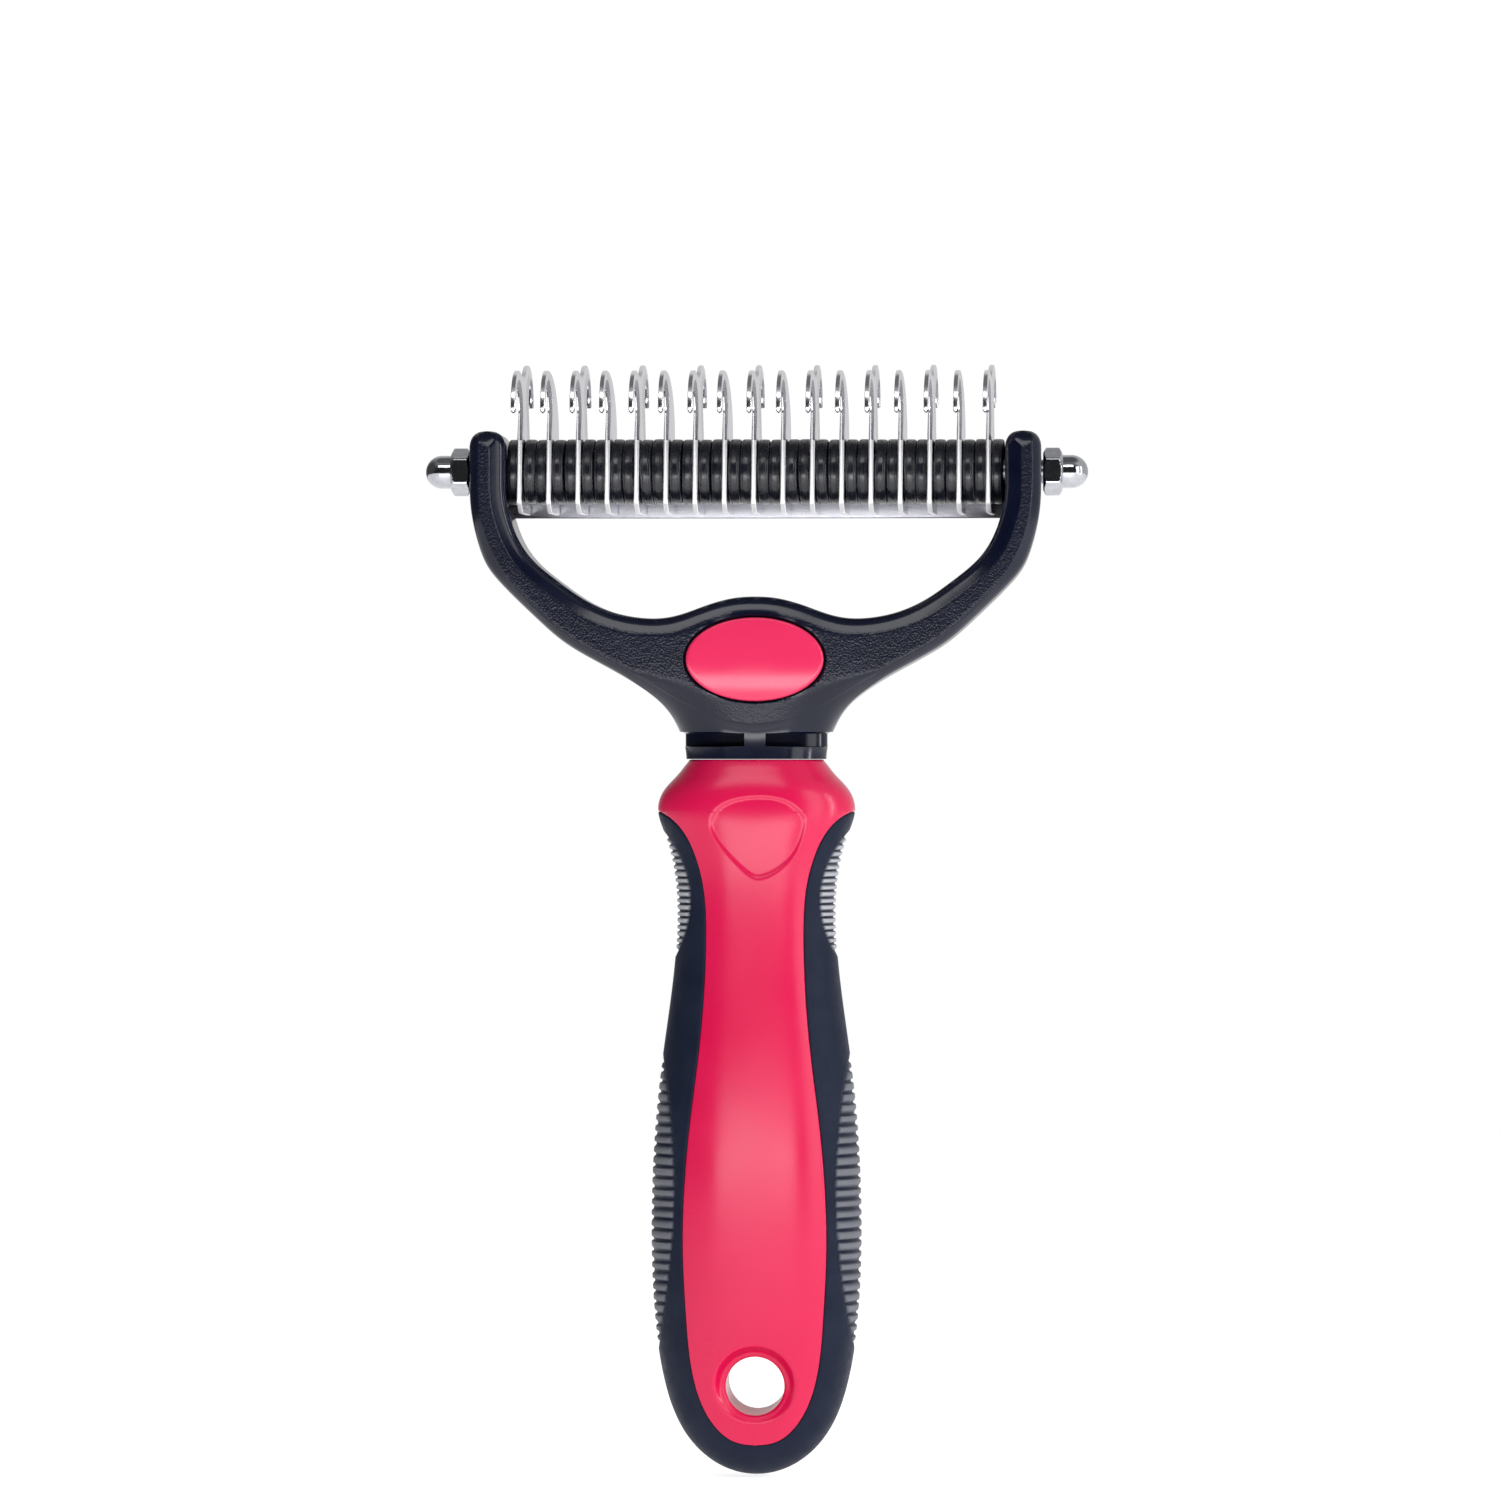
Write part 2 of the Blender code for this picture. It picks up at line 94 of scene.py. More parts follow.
# Seam between the hard panel and the soft grip, right half, from the side of the shoulder to the foot
SEAM = (
    (17.2, 110.5), (15.9, 110.1), (13.4, 108.5), (11.2, 105.6), (9.7, 102.0), (8.7, 98.0),
    (8.2, 91.0), (8.4, 82.0), (9.4, 70.0), (11.0, 57.0), (11.8, 47.0), (12.0, 38.0),
    (11.5, 27.0), (10.6, 18.0), (9.0, 12.2), (6.8, 8.4), (3.6, 5.8), (0.0, 5.2),
)
SEAM_STEP = 0.4
LIP = 0.32
LIP_STEPS = (0, 0.03, 0.08, 0.15, 0.24, 0.34, 0.5)
SKIRT = 1.5
PANEL_COLUMNS = 62
GRIP_COLUMNS = 34
FAN_CENTRE = 18.0
PANEL_SPLIT = 27.0
# The shoulder's top: where its rows end, its gap to the yoke, and how its rings shrink and drop
SHOULDER_END = 117.9
SHOULDER_GAP = 0.08
SHOULDER_RINGS = ((0.05, 0.35), (0.2, 0.1), (0.5, 0), (4.0, 0), (9.0, 0), (11.8, 0))
HOLE_CENTRE = (0, 15.2)
HOLE_RADIUS = 4.85
HOLE_ROUND = 0.6
HOLE_STEPS = (0, 0.04, 0.1, 0.18, 0.28, 0.4, 0.55, 0.75, 1.0, 1.25, 1.4, 1.55, 1.7, 1.85, 2.0, 2.2, 2.5)
DISH_WALL = (5.5, 7.1)
DISH_FLOOR = 8.2
DISH_SLOPE = 0.12

# Rib zones on the grip: middle height, half height, how far they reach in from the side, rib pitch, and the
# strength of the highlight painted on the ribs
RIB_ZONES = ((96.6, 10.6, 2.7, 1.1, 0.8), (45.4, 24.6, 4.3, 1.75, 0.3))
POCKET_DEPTH = 0.45

# Thumb rest: a soft triangle, point down, and the depth and width of its step
THUMB_REST = (
    (0.9, 112.7), (5.1, 112.0), (7.8, 109.9), (8.2, 107.9), (7.0, 104.2), (4.4, 101.1), (1.2, 99.5),
    (-1.4, 100.4), (-4.8, 103.8), (-6.9, 106.9), (-7.1, 109.0), (-5.8, 110.9), (-3.2, 112.2),
)
THUMB_DEPTH = 0.28
THUMB_STEP = 0.55

# Yoke: matching knots on its upper and lower edge, right half, from the crown to the arm
YOKE_UPPER = (
    (0.0, 145.9), (3.6, 145.65), (7.2, 144.75), (10.0, 143.75), (13.3, 142.7), (17.5, 142.3),
    (23.1, 143.2), (28.2, 145.4), (32.4, 148.3), (37.0, 152.2), (39.9, 157.0), (41.2, 162.0),
    (41.36, 166.0), (41.36, 170.4),
)
YOKE_LOWER = (
    (0.0, 119.0), (5.8, 119.0), (11.6, 119.0), (11.9, 121.4), (13.0, 124.2), (15.6, 128.2),
    (22.0, 132.8), (30.2, 137.4), (36.0, 142.1), (42.4, 148.4), (45.4, 153.2), (47.0, 159.5),
    (47.36, 165.0), (47.36, 170.4),
)
NECK_CORNER = 2
RAIL_STEPS = (22, 22, 24, 18, 18, 18, 20, 20, 20, 20, 18, 16, 14)
LOWER_EDGE_FROM = 48
ARM_TOP = 173.3
PLATEAU_EDGE = (
    (0.0, 125.0), (4.2, 125.5), (9.1, 127.2), (13.7, 129.6), (19.2, 132.9), (26.5, 136.7),
    (33.9, 141.7), (39.4, 147.2), (43.0, 152.7), (44.9, 157.5), (45.7, 163.7), (45.7, 172.0),
)
YOKE_DEPTH = 10.0
UPPER_RIM = 2.7
UPPER_ROUND = 1.2
UPPER_SLOPE = 0.38
LOWER_RIM = 1.9
CREASE_SLOPE = 0.8
CREASE_DROP = 0.85
CREASE_STEPS = (0, 0.05, 0.12, 0.2, 0.32, 0.5)
EDGE_STEPS = (0, 0.02, 0.07, 0.16, 0.3, 0.5, 0.75, 1.05, 1.4, 1.8, 2.3)
THINNEST = 0.06
ARM_STARTS = 146.0
LOWER_RIM_STARTS = (126, 131)
NECK_BLEND = 0.5
DOME_START = 136.0
DOME_END = 125.0
DOME_BEND = 0.006
NECK_SECTIONS = (
    (118.0, 11.7, 8.6), (121.0, 12.0, 8.65), (124.2, 13.15, 8.9), (128.2, 17.0, 9.8), (134.0, 33.0, 12.5),
    (142.0, 70.0, 20.0), (180.0, 90.0, 30.0),
)
BADGE_HEIGHT = 135.5
BADGE_SIZE = (11.4, 6.95)
BADGE_GAP = 0.3
BADGE_ROUND = 0.45
BADGE_RINGS = (30, 9, 6, 4, 2.6, 1.6, 1.0, 0.62, 0.36, 0.18, 0.07, 0.015, 0)
RECESS_FLOOR = 8.4
GROOVE = (121.1, 123.2)
GROOVE_FLOOR = (0.985, 0.5)
GROOVE_OPENING = 0.3
WEB_HALF = 1.75

# Blade profile, forward of the axle and up from it
HUB_REACH = 6.4
FRONT_HOOK = (8.6, 10.2)
FRONT_REACH = 6.3
FRONT_EYE = (9.7, 9.6)
FRONT_EYE_RADIUS = 3.7
SPINE_SIZE = (14.8, 10.7)
REAR_HOOK = (-4.6, 11.8)
REAR_SIZE = (7.0, 6.2)
REAR_EYE = (-7.95, 11.6)
REAR_EYE_SIZE = (2.75, 3.4)
SADDLE = ((4.6, 15.7), (1.6, 15.3), (-1.2, 16.6), (-3.9, 17.96))
FRONT_TIP = ((13.75, 9.45), (14.25, 9.2), (14.7, 9.45))
REAR_TIP = ((-11.45, 11.15), (-11.1, 11.1))
HEEL = (
    (-HUB_REACH, 3.6), (-HUB_REACH, -3.0), (-7.5, -4.5), (-7.5, -7.0),
    (3.8, -7.0), (HUB_REACH, -5.4), (HUB_REACH, 5.6), (6.0, 9.6),
)
BLADE_THICKNESS = 0.8
BLADE_ROUND = 0.12
BLADE_SKEW = radians(-3)

WASHER_RADIUS = 5.4
WASHER_HALF = (PITCH / MM - BLADE_THICKNESS) / 4 - 0.03
WASHER_ROUND = 0.42
WASHER_BORE = AXLE_RADIUS / MM + 0.35
WASHER_FACE = 3.6

# Cap nut: length of its hexagon, radius of its dome and bearing face, and its corners, chamfers and bore
NUT_HEX = 3.2
NUT_DOME = 2.75
NUT_FACE = 3.05
NUT_CORNER = 3.98
NUT_CHAMFER = (3.12, 1.75)
NUT_BORE = AXLE_RADIUS / MM + 0.3
NUT_DRILLED = 5.2
NUT_STEPS = (0.02, 0.08, 0.16, 0.26, 0.38, 0.5, 0.8, 1.6, 2.2, 2.5, 2.65, 2.8, 2.92, 3.04, 3.14, 3.19)
ON_HEXAGON = 9

# Low card: its place, size and power
LOW_CARD = ((0, -0.3, 0.058), (0.26, 0.046), 0.24)

# Room: its own grey, then its dark sides by axis, where they are darkest, where they end, and their grey
ROOM_SHADE = 0.66
ROOM_SIDES = (("X", -0.8, -0.1, 0.08), ("Y", -0.8, -0.3, 0.03), ("Z", 0.95, 0.75, 0.15))

# Soft boxes: azimuth, elevation, distance, width and height, power
LIGHTS = (
    ("key", -8, 42, 1.0, (0.7, 0.22), 1.95),
    ("box_right", 46, 10, 0.95, (0.36, 0.8), 2.3),
    ("strip_right", 74, 2, 0.9, (0.08, 0.9), 2.6),
)

# Camera
AZIMUTH = radians(2)
AIM = (-1.1, 120.5)
VIEW_WIDTH = 249.75
DISTANCE = 1.3


# Curves and distances, in millimetres


def spline(at, knots, where):
    """A natural cubic spline through rows of knots, read at the given places."""
    at, knots = np.array(at, float), np.array(knots, float)
    gap = np.diff(at)
    system, slope = np.eye(len(at)), np.zeros_like(knots)
    for i in range(1, len(at) - 1):
        system[i, i - 1:i + 2] = gap[i - 1], 2 * (gap[i - 1] + gap[i]), gap[i]
        slope[i] = 6 * ((knots[i + 1] - knots[i]) / gap[i] - (knots[i] - knots[i - 1]) / gap[i - 1])
    bend = np.linalg.solve(system, slope)
    k = np.clip(np.searchsorted(at, where) - 1, 0, len(gap) - 1)
    a = ((at[k + 1] - where) / gap[k])[:, None]
    b = 1 - a
    curve = a * knots[k] + b * knots[k + 1]
    return curve + ((a ** 3 - a) * bend[k] + (b ** 3 - b) * bend[k + 1]) * (gap[k] ** 2)[:, None] / 6


def along(points):
    """Distance along a row of points from its start."""
    return np.concatenate([[0], np.cumsum(np.linalg.norm(np.diff(points, axis=0), axis=1))])


def smooth_line(knots, step):
    """Points a given step apart on a smooth curve through knots."""
    at = along(np.array(knots, float))
    dense = spline(at, knots, np.linspace(0, at[-1], 1500))
    length = along(dense)
    where = np.linspace(0, length[-1], int(length[-1] / step) + 2)
    return np.stack([np.interp(where, length, dense[:, i]) for i in range(dense.shape[1])], -1)


def distance(points, line):
    """Distance in the plane from each point to a line of segments."""
    flat = points.reshape(-1, 2)
    best = np.full(len(flat), 1e9)
    for start, end in zip(line[:-1], line[1:]):
        run = end - start
        share = np.clip((flat - start) @ run / max(run @ run, 1e-12), 0, 1)
        best = np.minimum(best, np.linalg.norm(flat - start - share[:, None] * run, axis=1))
    return best.reshape(points.shape[:-1])


def smoothstep(value, low, high):
    t = np.clip((value - low) / (high - low), 0, 1)
    return t * t * (3 - 2 * t)


def rounding(gap, radius):
    """How far a rounded edge falls away at a distance from it."""
    t = 1 - np.clip(gap / radius, 0, 1)
    return radius * (1 - np.sqrt(1 - t * t))


def soft_min(a, b, blend):
    h = np.clip(0.5 + 0.5 * (b - a) / blend, 0, 1)
    return b + (a - b) * h - blend * h * (1 - h)


def spread(length, count, near, far=()):
    """Places from 0 to length, at given gaps from one or both ends and even between them."""
    scale = min(1, length / (2.2 * (near[-1] + (far[-1] if far else 0))))
    first, last = np.array(near) * scale, length - np.array(far)[::-1] * scale
    end = last[0] if far else length
    even = np.linspace(first[-1], end, count)
    return np.concatenate([first[:-1], even, last[1:]])


# Meshes and pieces


def to_frame(points):
    """Frame coordinates from millimetres: across, towards the back, and up from the handle's end."""
    return np.stack([points[..., 0] * MM, points[..., 1] * MM, BASE + points[..., 2] * MM], -1)


def mesh_of(grids, sharp=SHARP, marks=None):
    """One closed mesh from grids of points, welded where they meet. Marks name a value for each point."""
    verts, faces, start = [], [], 0
    for grid in grids:
        rows, cols = grid.shape[:2]
        index = start + np.arange(rows * cols).reshape(rows, cols)
        quads = np.stack([index[:-1, :-1], index[:-1, 1:], index[1:, 1:], index[1:, :-1]], -1)
        verts.append(grid.reshape(-1, 3))
        faces.append(quads.reshape(-1, 4))
        start += rows * cols
    mesh = bpy.data.meshes.new("shape")
    mesh.from_pydata(np.concatenate(verts), [], np.concatenate(faces).tolist())
    for mark, values in (marks or {}).items():
        layer = mesh.attributes.new(mark, "FLOAT", "POINT")
        layer.data.foreach_set("value", np.concatenate([v.ravel() for v in values]).astype(np.float32))
    body = bmesh.new()
    body.from_mesh(mesh)
    bmesh.ops.remove_doubles(body, verts=body.verts, dist=WELD)
    bmesh.ops.recalc_face_normals(body, faces=body.faces)
    if body.calc_volume(signed=True) < 0:
        bmesh.ops.reverse_faces(body, faces=body.faces)
    body.to_mesh(mesh)
    body.free()
    mesh.shade_smooth()
    mesh.set_sharp_from_angle(angle=radians(sharp))
    return mesh


def closed(grid):
    """A grid whose rows are loops, with the first column repeated at the end."""
    return np.concatenate([grid, grid[:, :1]], axis=1)


def turned(profile, segments, radius_of=None):
    """A grid turned about X: profile gives x and radius, and radius_of may change the radius by angle."""
    angle = np.arange(segments + 1) * 2 * pi / segments
    x, r = np.array(profile, float).T
    radius = np.repeat(r[:, None], segments + 1, axis=1)
    if radius_of is not None:
        radius = radius_of(radius, x[:, None], angle[None, :])
    across = np.repeat(x[:, None], segments + 1, axis=1)
    return np.stack([across, radius * np.cos(angle), radius * np.sin(angle)], -1)


def piece(node, mesh, materials, body=RAKE, place=(0, 0, 0), turn=(0, 0, 0)):
    """An object that stands for a CAD node and rides on its body."""
    item = bpy.data.objects.new(f"{node}_detailed", mesh)
    bpy.context.scene.collection.objects.link(item)
    item.location = place
    item.rotation_euler = turn
    for shade in materials:
        mesh.materials.append(shade)
    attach(item, body)
    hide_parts(node)
    return item


def cut(item, mesh):
    """Takes a closed shape out of a piece for good."""
    cutter = bpy.data.objects.new("cutter", mesh)
    bpy.context.scene.collection.objects.link(cutter)
    change = item.modifiers.new("cut", "BOOLEAN")
    change.operation = "DIFFERENCE"
    change.solver = "EXACT"
    change.object = cutter
    graph = bpy.context.evaluated_depsgraph_get()
    made = bpy.data.meshes.new_from_object(item.evaluated_get(graph))
    item.modifiers.clear()
    item.data = made
    bpy.data.objects.remove(cutter)
    made.shade_smooth()
    made.set_sharp_from_angle(angle=radians(SHARP))


# Materials


class Shade:
    """A Principled material built from a few kinds of procedural detail."""

    def __init__(self, name, **values):
        self.material = bpy.data.materials.new(name)
        self.material.use_nodes = True
        self.tree = self.material.node_tree
        self.shader = self.tree.nodes["Principled BSDF"]
        self.place = self.node("ShaderNodeTexCoord").outputs["Object"]
        self.height = None
        for key, value in values.items():
            self.set(key.replace("_", " "), value)

    def node(self, kind, **settings):
        made = self.tree.nodes.new(kind)
        for key, value in settings.items():
            setattr(made, key, value)
        return made

    def set(self, socket, value):
        self.shader.inputs[socket].default_value = value

    def link(self, source, target):
        self.tree.links.new(source, target)

    def attribute(self, name):
        return self.node("ShaderNodeAttribute", attribute_name=name).outputs["Fac"]

    def noise(self, size, detail, stretch=(1, 1, 1)):
        """Noise with patches of about the given size in millimetres, drawn out along the axes by stretch."""
        mapping = self.node("ShaderNodeMapping")
        mapping.inputs["Scale"].default_value = [1 / (size * MM * s) for s in stretch]
        self.link(self.place, mapping.inputs["Vector"])
        noise = self.node("ShaderNodeTexNoise")
        noise.inputs["Scale"].default_value = 1
        noise.inputs["Detail"].default_value = detail
        self.link(mapping.outputs["Vector"], noise.inputs["Vector"])
        return noise.outputs["Fac"]

    def cells(self, size):
        """Rounded cells of about the given size in millimetres, like a leather grain."""
        cells = self.node("ShaderNodeTexVoronoi", feature="SMOOTH_F1")
        cells.inputs["Scale"].default_value = 1 / (size * MM)
        cells.inputs["Smoothness"].default_value = 0.6
        self.link(self.place, cells.inputs["Vector"])
        return cells.outputs["Distance"]

    def span(self, value, low, high, clamp=True):
        """A value from 0 to 1, mapped to the range from low to high."""
        ranged = self.node("ShaderNodeMapRange", clamp=clamp)
        ranged.inputs["From Min"].default_value = 0.3
        ranged.inputs["From Max"].default_value = 0.7
        ranged.inputs["To Min"].default_value = low
        ranged.inputs["To Max"].default_value = high
        self.link(value, ranged.inputs["Value"])
        return ranged.outputs["Result"]

    def times(self, a, b):
        product = self.node("ShaderNodeMath", operation="MULTIPLY")
        self.link(a, product.inputs[0])
        self.link(b, product.inputs[1])
        return product.outputs["Value"]

    def mixed(self, value, first, second):
        """A blend of two colours, each given as numbers or as another blend."""
        mix = self.node("ShaderNodeMix", data_type="RGBA")
        for socket, colour in (("A", first), ("B", second)):
            if isinstance(colour, tuple):
                mix.inputs[socket].default_value = (*colour, 1)
            else:
                self.link(colour, mix.inputs[socket])
        self.link(value, mix.inputs["Factor"])
        return mix.outputs["Result"]

    def colours(self, noise, first, second):
        self.link(self.mixed(self.span(noise, 0.0, 1.0), first, second), self.shader.inputs["Base Color"])

    def roughness(self, noise, low, high, clamp=True):
        self.link(self.span(noise, low, high, clamp), self.shader.inputs["Roughness"])

    def bump(self, value, depth):
        """Adds relief of the given depth in millimetres to what is there already."""
        bump = self.node("ShaderNodeBump")
        bump.inputs["Distance"].default_value = depth * MM
        self.link(value, bump.inputs["Height"])
        if self.height:
            self.link(self.height, bump.inputs["Normal"])
        self.height = bump.outputs["Normal"]
        self.link(self.height, self.shader.inputs["Normal"])


def surface(name, colour, gloss, reliefs, **values):
    """A material of noises: for colour and roughness a noise and its two ends, for each relief its depth."""
    shade = Shade(name, **values)
    noise, first, second = colour
    shade.colours(shade.noise(*noise), first, second)
    noise, low, high = gloss
    shade.roughness(shade.noise(*noise), low, high)
    for noise, depth in reliefs:
        shade.bump(shade.noise(*noise), depth)
    return shade.material


def pink_plastic(name, first, second, roughness):
    shade = Shade(name, Specular_IOR_Level=0.4)
    shade.colours(shade.noise(14, 4), first, second)
    shade.roughness(shade.noise(12, 1), roughness - 0.02, roughness + 0.04, clamp=False)
    shade.bump(shade.noise(6, 0), 0.012)
    return shade.material


def grip_rubber():
    """Matt rubber with a painted highlight: paler grey painted on the ribs, as much as the mark on them says.
    """
    shade = Shade("grip_rubber", Specular_IOR_Level=0.13)
    patches = shade.span(shade.noise(5, 5), 0.0, 1.0)
    rubber = shade.mixed(patches, (0.006, 0.010, 0.026), (0.010, 0.015, 0.034))
    # Painted highlight: a pale grey mixed into the colour on the ribs, standing in for their sheen.
    sheened = shade.mixed(shade.attribute("painted_sheen"), rubber, (0.5, 0.51, 0.55))
    shade.link(sheened, shade.shader.inputs["Base Color"])
    shade.roughness(shade.noise(1.6, 4), 0.42, 0.56)
    shade.bump(shade.noise(0.18, 3), 0.012)
    return shade.material


def yoke_plastic():
    """Leather-grained plateaus between smooth, glossier rims, as the plateau mark says."""
    shade = Shade("yoke_plastic", Specular_IOR_Level=0.36)
    plateau = shade.attribute("plateau")
    shade.colours(shade.noise(4, 4), (0.002, 0.0035, 0.014), (0.004, 0.006, 0.020))
    gloss = shade.node("ShaderNodeMapRange")
    gloss.inputs["To Min"].default_value = 0.15
    gloss.inputs["To Max"].default_value = 0.3
    shade.link(plateau, gloss.inputs["Value"])
    shade.link(gloss.outputs["Result"], shade.shader.inputs["Roughness"])
    shade.bump(shade.times(shade.cells(0.33), plateau), 0.05)
    shade.bump(shade.times(shade.noise(0.8, 3), plateau), 0.035)
    shade.bump(shade.noise(1.2, 2), 0.006)
    return shade.material


def washer_rubber():
    colour = ((1.5, 4), (0.004, 0.005, 0.009), (0.010, 0.011, 0.018))
    gloss = ((1.0, 5, (0.5, 2, 2)), 0.16, 0.36)
    reliefs = (((0.5, 4, (0.35, 3, 3)), 0.03), ((2.6, 2), 0.13))
    return surface("washer_rubber", colour, gloss, reliefs, Specular_IOR_Level=0.6)


def blade_steel():
    """Polished sheet steel with faint rolling lines along the blade."""
    colour = ((3, 4), (0.82, 0.82, 0.87), (0.92, 0.92, 0.95))
    gloss = ((0.35, 4, (1, 1, 12)), 0.12, 0.24)
    reliefs = (((0.12, 3, (1, 1, 25)), 0.0012),)
    return surface("blade_steel", colour, gloss, reliefs, Metallic=1.0)


def ground_steel():
    """The sharpened bevels, with grinding lines across them."""
    colour = ((0.6, 4), (0.24, 0.24, 0.28), (0.42, 0.42, 0.47))
    gloss = ((0.2, 4, (1, 14, 1)), 0.2, 0.36)
    reliefs = (((0.08, 2, (1, 20, 1)), 0.002),)
    return surface("ground_steel", colour, gloss, reliefs, Metallic=1.0)


def cut_edge():
    """The sheared edges of the blades: matt and torn across by the die, and painted near white as a painted
    highlight where they catch the light.
    """
    # Painted highlight: a near-white colour with little metal, so the sheared heel edges look lit from any
    # side.
    colour = ((0.8, 4), (0.93, 0.93, 0.95), (0.99, 0.99, 1.0))
    gloss = ((0.2, 3), 0.34, 0.5)
    reliefs = (((0.1, 2, (8, 1, 1)), 0.002),)
    return surface("cut_edge", colour, gloss, reliefs, Metallic=0.3)


def brushed_steel(name):
    """Dull steel drawn along X."""
    drawn = (20, 1, 1)
    colour = ((2, 4, drawn), (0.34, 0.34, 0.38), (0.47, 0.47, 0.51))
    gloss = ((0.15, 4, drawn), 0.24, 0.42)
    return surface(name, colour, gloss, (((0.08, 3, drawn), 0.002),), Metallic=1.0)


def nut_chrome():
    colour = ((1.2, 4), (0.44, 0.45, 0.49), (0.54, 0.55, 0.58))
    gloss = ((0.8, 5), 0.04, 0.13)
    return surface("nut_chrome", colour, gloss, (((0.9, 3), 0.01),), Metallic=1.0)


# Handle


def handle_table():
    """Height, half width and half depth down the handle; mirrored knots past its end round the end off."""
    mirrored = tuple((z, -w, -d) for z, w, d in HANDLE_SECTIONS[-2:-4:-1])
    knots = np.array(HANDLE_SECTIONS + mirrored)
    at = along(knots)
    dense = spline(at, knots, np.linspace(0, at[-1], 6000))
    return dense[:int(np.argmin(dense[:, 0])) + 1][::-1]


HANDLE = handle_table()


def half_width(z):
    return np.interp(z, HANDLE[:, 0], HANDLE[:, 1])


def half_depth(z):
    return np.interp(z, HANDLE[:, 0], HANDLE[:, 2])


def surface_depth(x, z):
    """How far the handle's surface stands from its middle plane."""
    share = np.clip(np.abs(x) / np.maximum(half_width(z), 1e-6), 0, 1)
    return half_depth(z) * (1 - share ** SECTION_POWER) ** (1 / SECTION_POWER)


def slope(column, z):
    """How fast a column of the handle's table changes with height."""
    heights = HANDLE[:, 0] + np.arange(len(HANDLE)) * 1e-9
    return np.interp(z, HANDLE[:, 0], np.gradient(HANDLE[:, column], heights))


def handle_normals(points):
    """Outward directions of the handle's surface, from its sections."""
    x, y, z = points[..., 0], points[..., 1], points[..., 2]
    p = SECTION_POWER
    w, d = np.maximum(half_width(z), 0.3), np.maximum(half_depth(z), 0.3)
    across, deep = np.abs(x) / w, np.abs(y) / d
    normal = np.stack([
        across ** (p - 1) * np.sign(x) / w,
        deep ** (p - 1) * np.sign(y) / d,
        -(across ** p * slope(1, z) / w + deep ** p * slope(2, z) / d),
    ], -1)
    return normal / np.maximum(np.linalg.norm(normal, axis=-1, keepdims=True), 1e-9)


def seam_points():
    """The seam's right half from the shoulder down to the foot, cut off where it meets the side."""
    foot = [(-x, z) for x, z in SEAM[-2:-4:-1]]
    line = smooth_line(SEAM + tuple(foot), SEAM_STEP / 4)
    line = line[:int(np.argmin(np.abs(line[:, 0]))) + 1]
    line = line[line[:, 0] < half_width(line[:, 1])]
    top = np.array([[half_width(line[0, 1]), line[0, 1] + 0.04]])
    line = np.concatenate([top, line])
    line[-1] = 0, SEAM[-1][1]
    return line


SEAM_LINE = seam_points()
SPLIT_AT = np.argmin(np.abs(SEAM_LINE[:, 1] - PANEL_SPLIT) + 99 * (SEAM_LINE[:, 0] < 8))


def seam_gap(x, z):
    return distance(np.stack([np.abs(x), z], -1), SEAM_LINE[::3])


def sunk(points, depth):
    return points - handle_normals(points) * depth[..., None]


def resample(points, where):
    """A row of points read at given distances along it."""
    length = along(points)
    return np.stack([np.interp(where, length, points[:, i]) for i in range(points.shape[1])], -1)


def level_row(z):
    """The front of one level of the handle, from its middle to its right side."""
    turn = np.linspace(0, pi / 2, 160)
    x = half_width(z) * np.sin(turn) ** (2 / SECTION_POWER)
    y = half_depth(z) * np.cos(turn) ** (2 / SECTION_POWER)
    return np.stack([x, -y, np.full_like(x, z)], -1)


def inside(points, loop):
    """Whether each point in the plane lies inside a closed loop."""
    x, z = points[..., 0], points[..., 1]
    odd = np.zeros(x.shape, bool)
    for (x0, z0), (x1, z1) in zip(loop[:-1], loop[1:]):
        if z0 != z1:
            crosses = (z0 > z) != (z1 > z)
            odd ^= crosses & (x < x0 + (z - z0) * (x1 - x0) / (z1 - z0))
    return odd


def thumb_depth(x, z):
    """The shallow thumb rest, which lies a step below the surface round it."""
    knots = THUMB_REST[-2:] + THUMB_REST + THUMB_REST[:3]
    loop = spline(np.arange(-2, len(knots) - 2), knots, np.linspace(0, len(THUMB_REST), 130))
    points = np.stack([x, z], -1)
    gap = distance(points, loop)
    gap = np.where(inside(points, loop), -gap, gap)
    return THUMB_DEPTH * (1 - smoothstep(gap, -THUMB_STEP / 2, THUMB_STEP / 2))


def panel_relief(points):
    """Depth of the panel's lip at the seam, and of its thumb rest."""
    x, z = points[..., 0], points[..., 2]
    return rounding(seam_gap(x, z), LIP) + thumb_depth(x, z)


def panel_levels():
    """Seam places for the panel's upper rows: fine at the shoulder and the thumb rest, wider below."""
    rows, last = [], None
    for x, z in SEAM_LINE:
        step = 0.2 if z > 98 else 0.7
        if last is None or np.hypot(x - last[0], z - last[1]) >= step:
            if z > PANEL_SPLIT + 0.3:
                rows.append((x, z))
                last = (x, z)
    return rows + [tuple(SEAM_LINE[SPLIT_AT])]


def half_panel_row(x, z):
    """From the seam to the middle of the front at one level."""
    row = level_row(z)
    reach = np.interp(x, row[:, 0], along(row))
    places = spread(reach, PANEL_COLUMNS, LIP_STEPS)
    return resample(row, reach - places)


def mirrored_row(half):
    """A full row from the left seam to the right one, from its right half, seam first."""
    left = half * (-1, 1, 1)
    return np.concatenate([left, half[::-1][1:]])


def back_of(front):
    return front * (1, -1, 1)


def panel_loop(front, skirt):
    """A loop round one level: front, right skirt, back, left skirt."""
    right, left = front[-1:], front[:1]
    loop = np.concatenate([front, right, back_of(right), back_of(front)[::-1], back_of(left), left])
    depth = panel_relief(loop)
    count = len(front)
    depth[[count, count + 1, -2, -1]] = skirt
    return sunk(loop, depth)


def shoulder_loop(z):
    """A loop right round one level of the shoulder, above the seam."""
    return panel_loop(mirrored_row(half_panel_row(half_width(z), z)), 0.0)


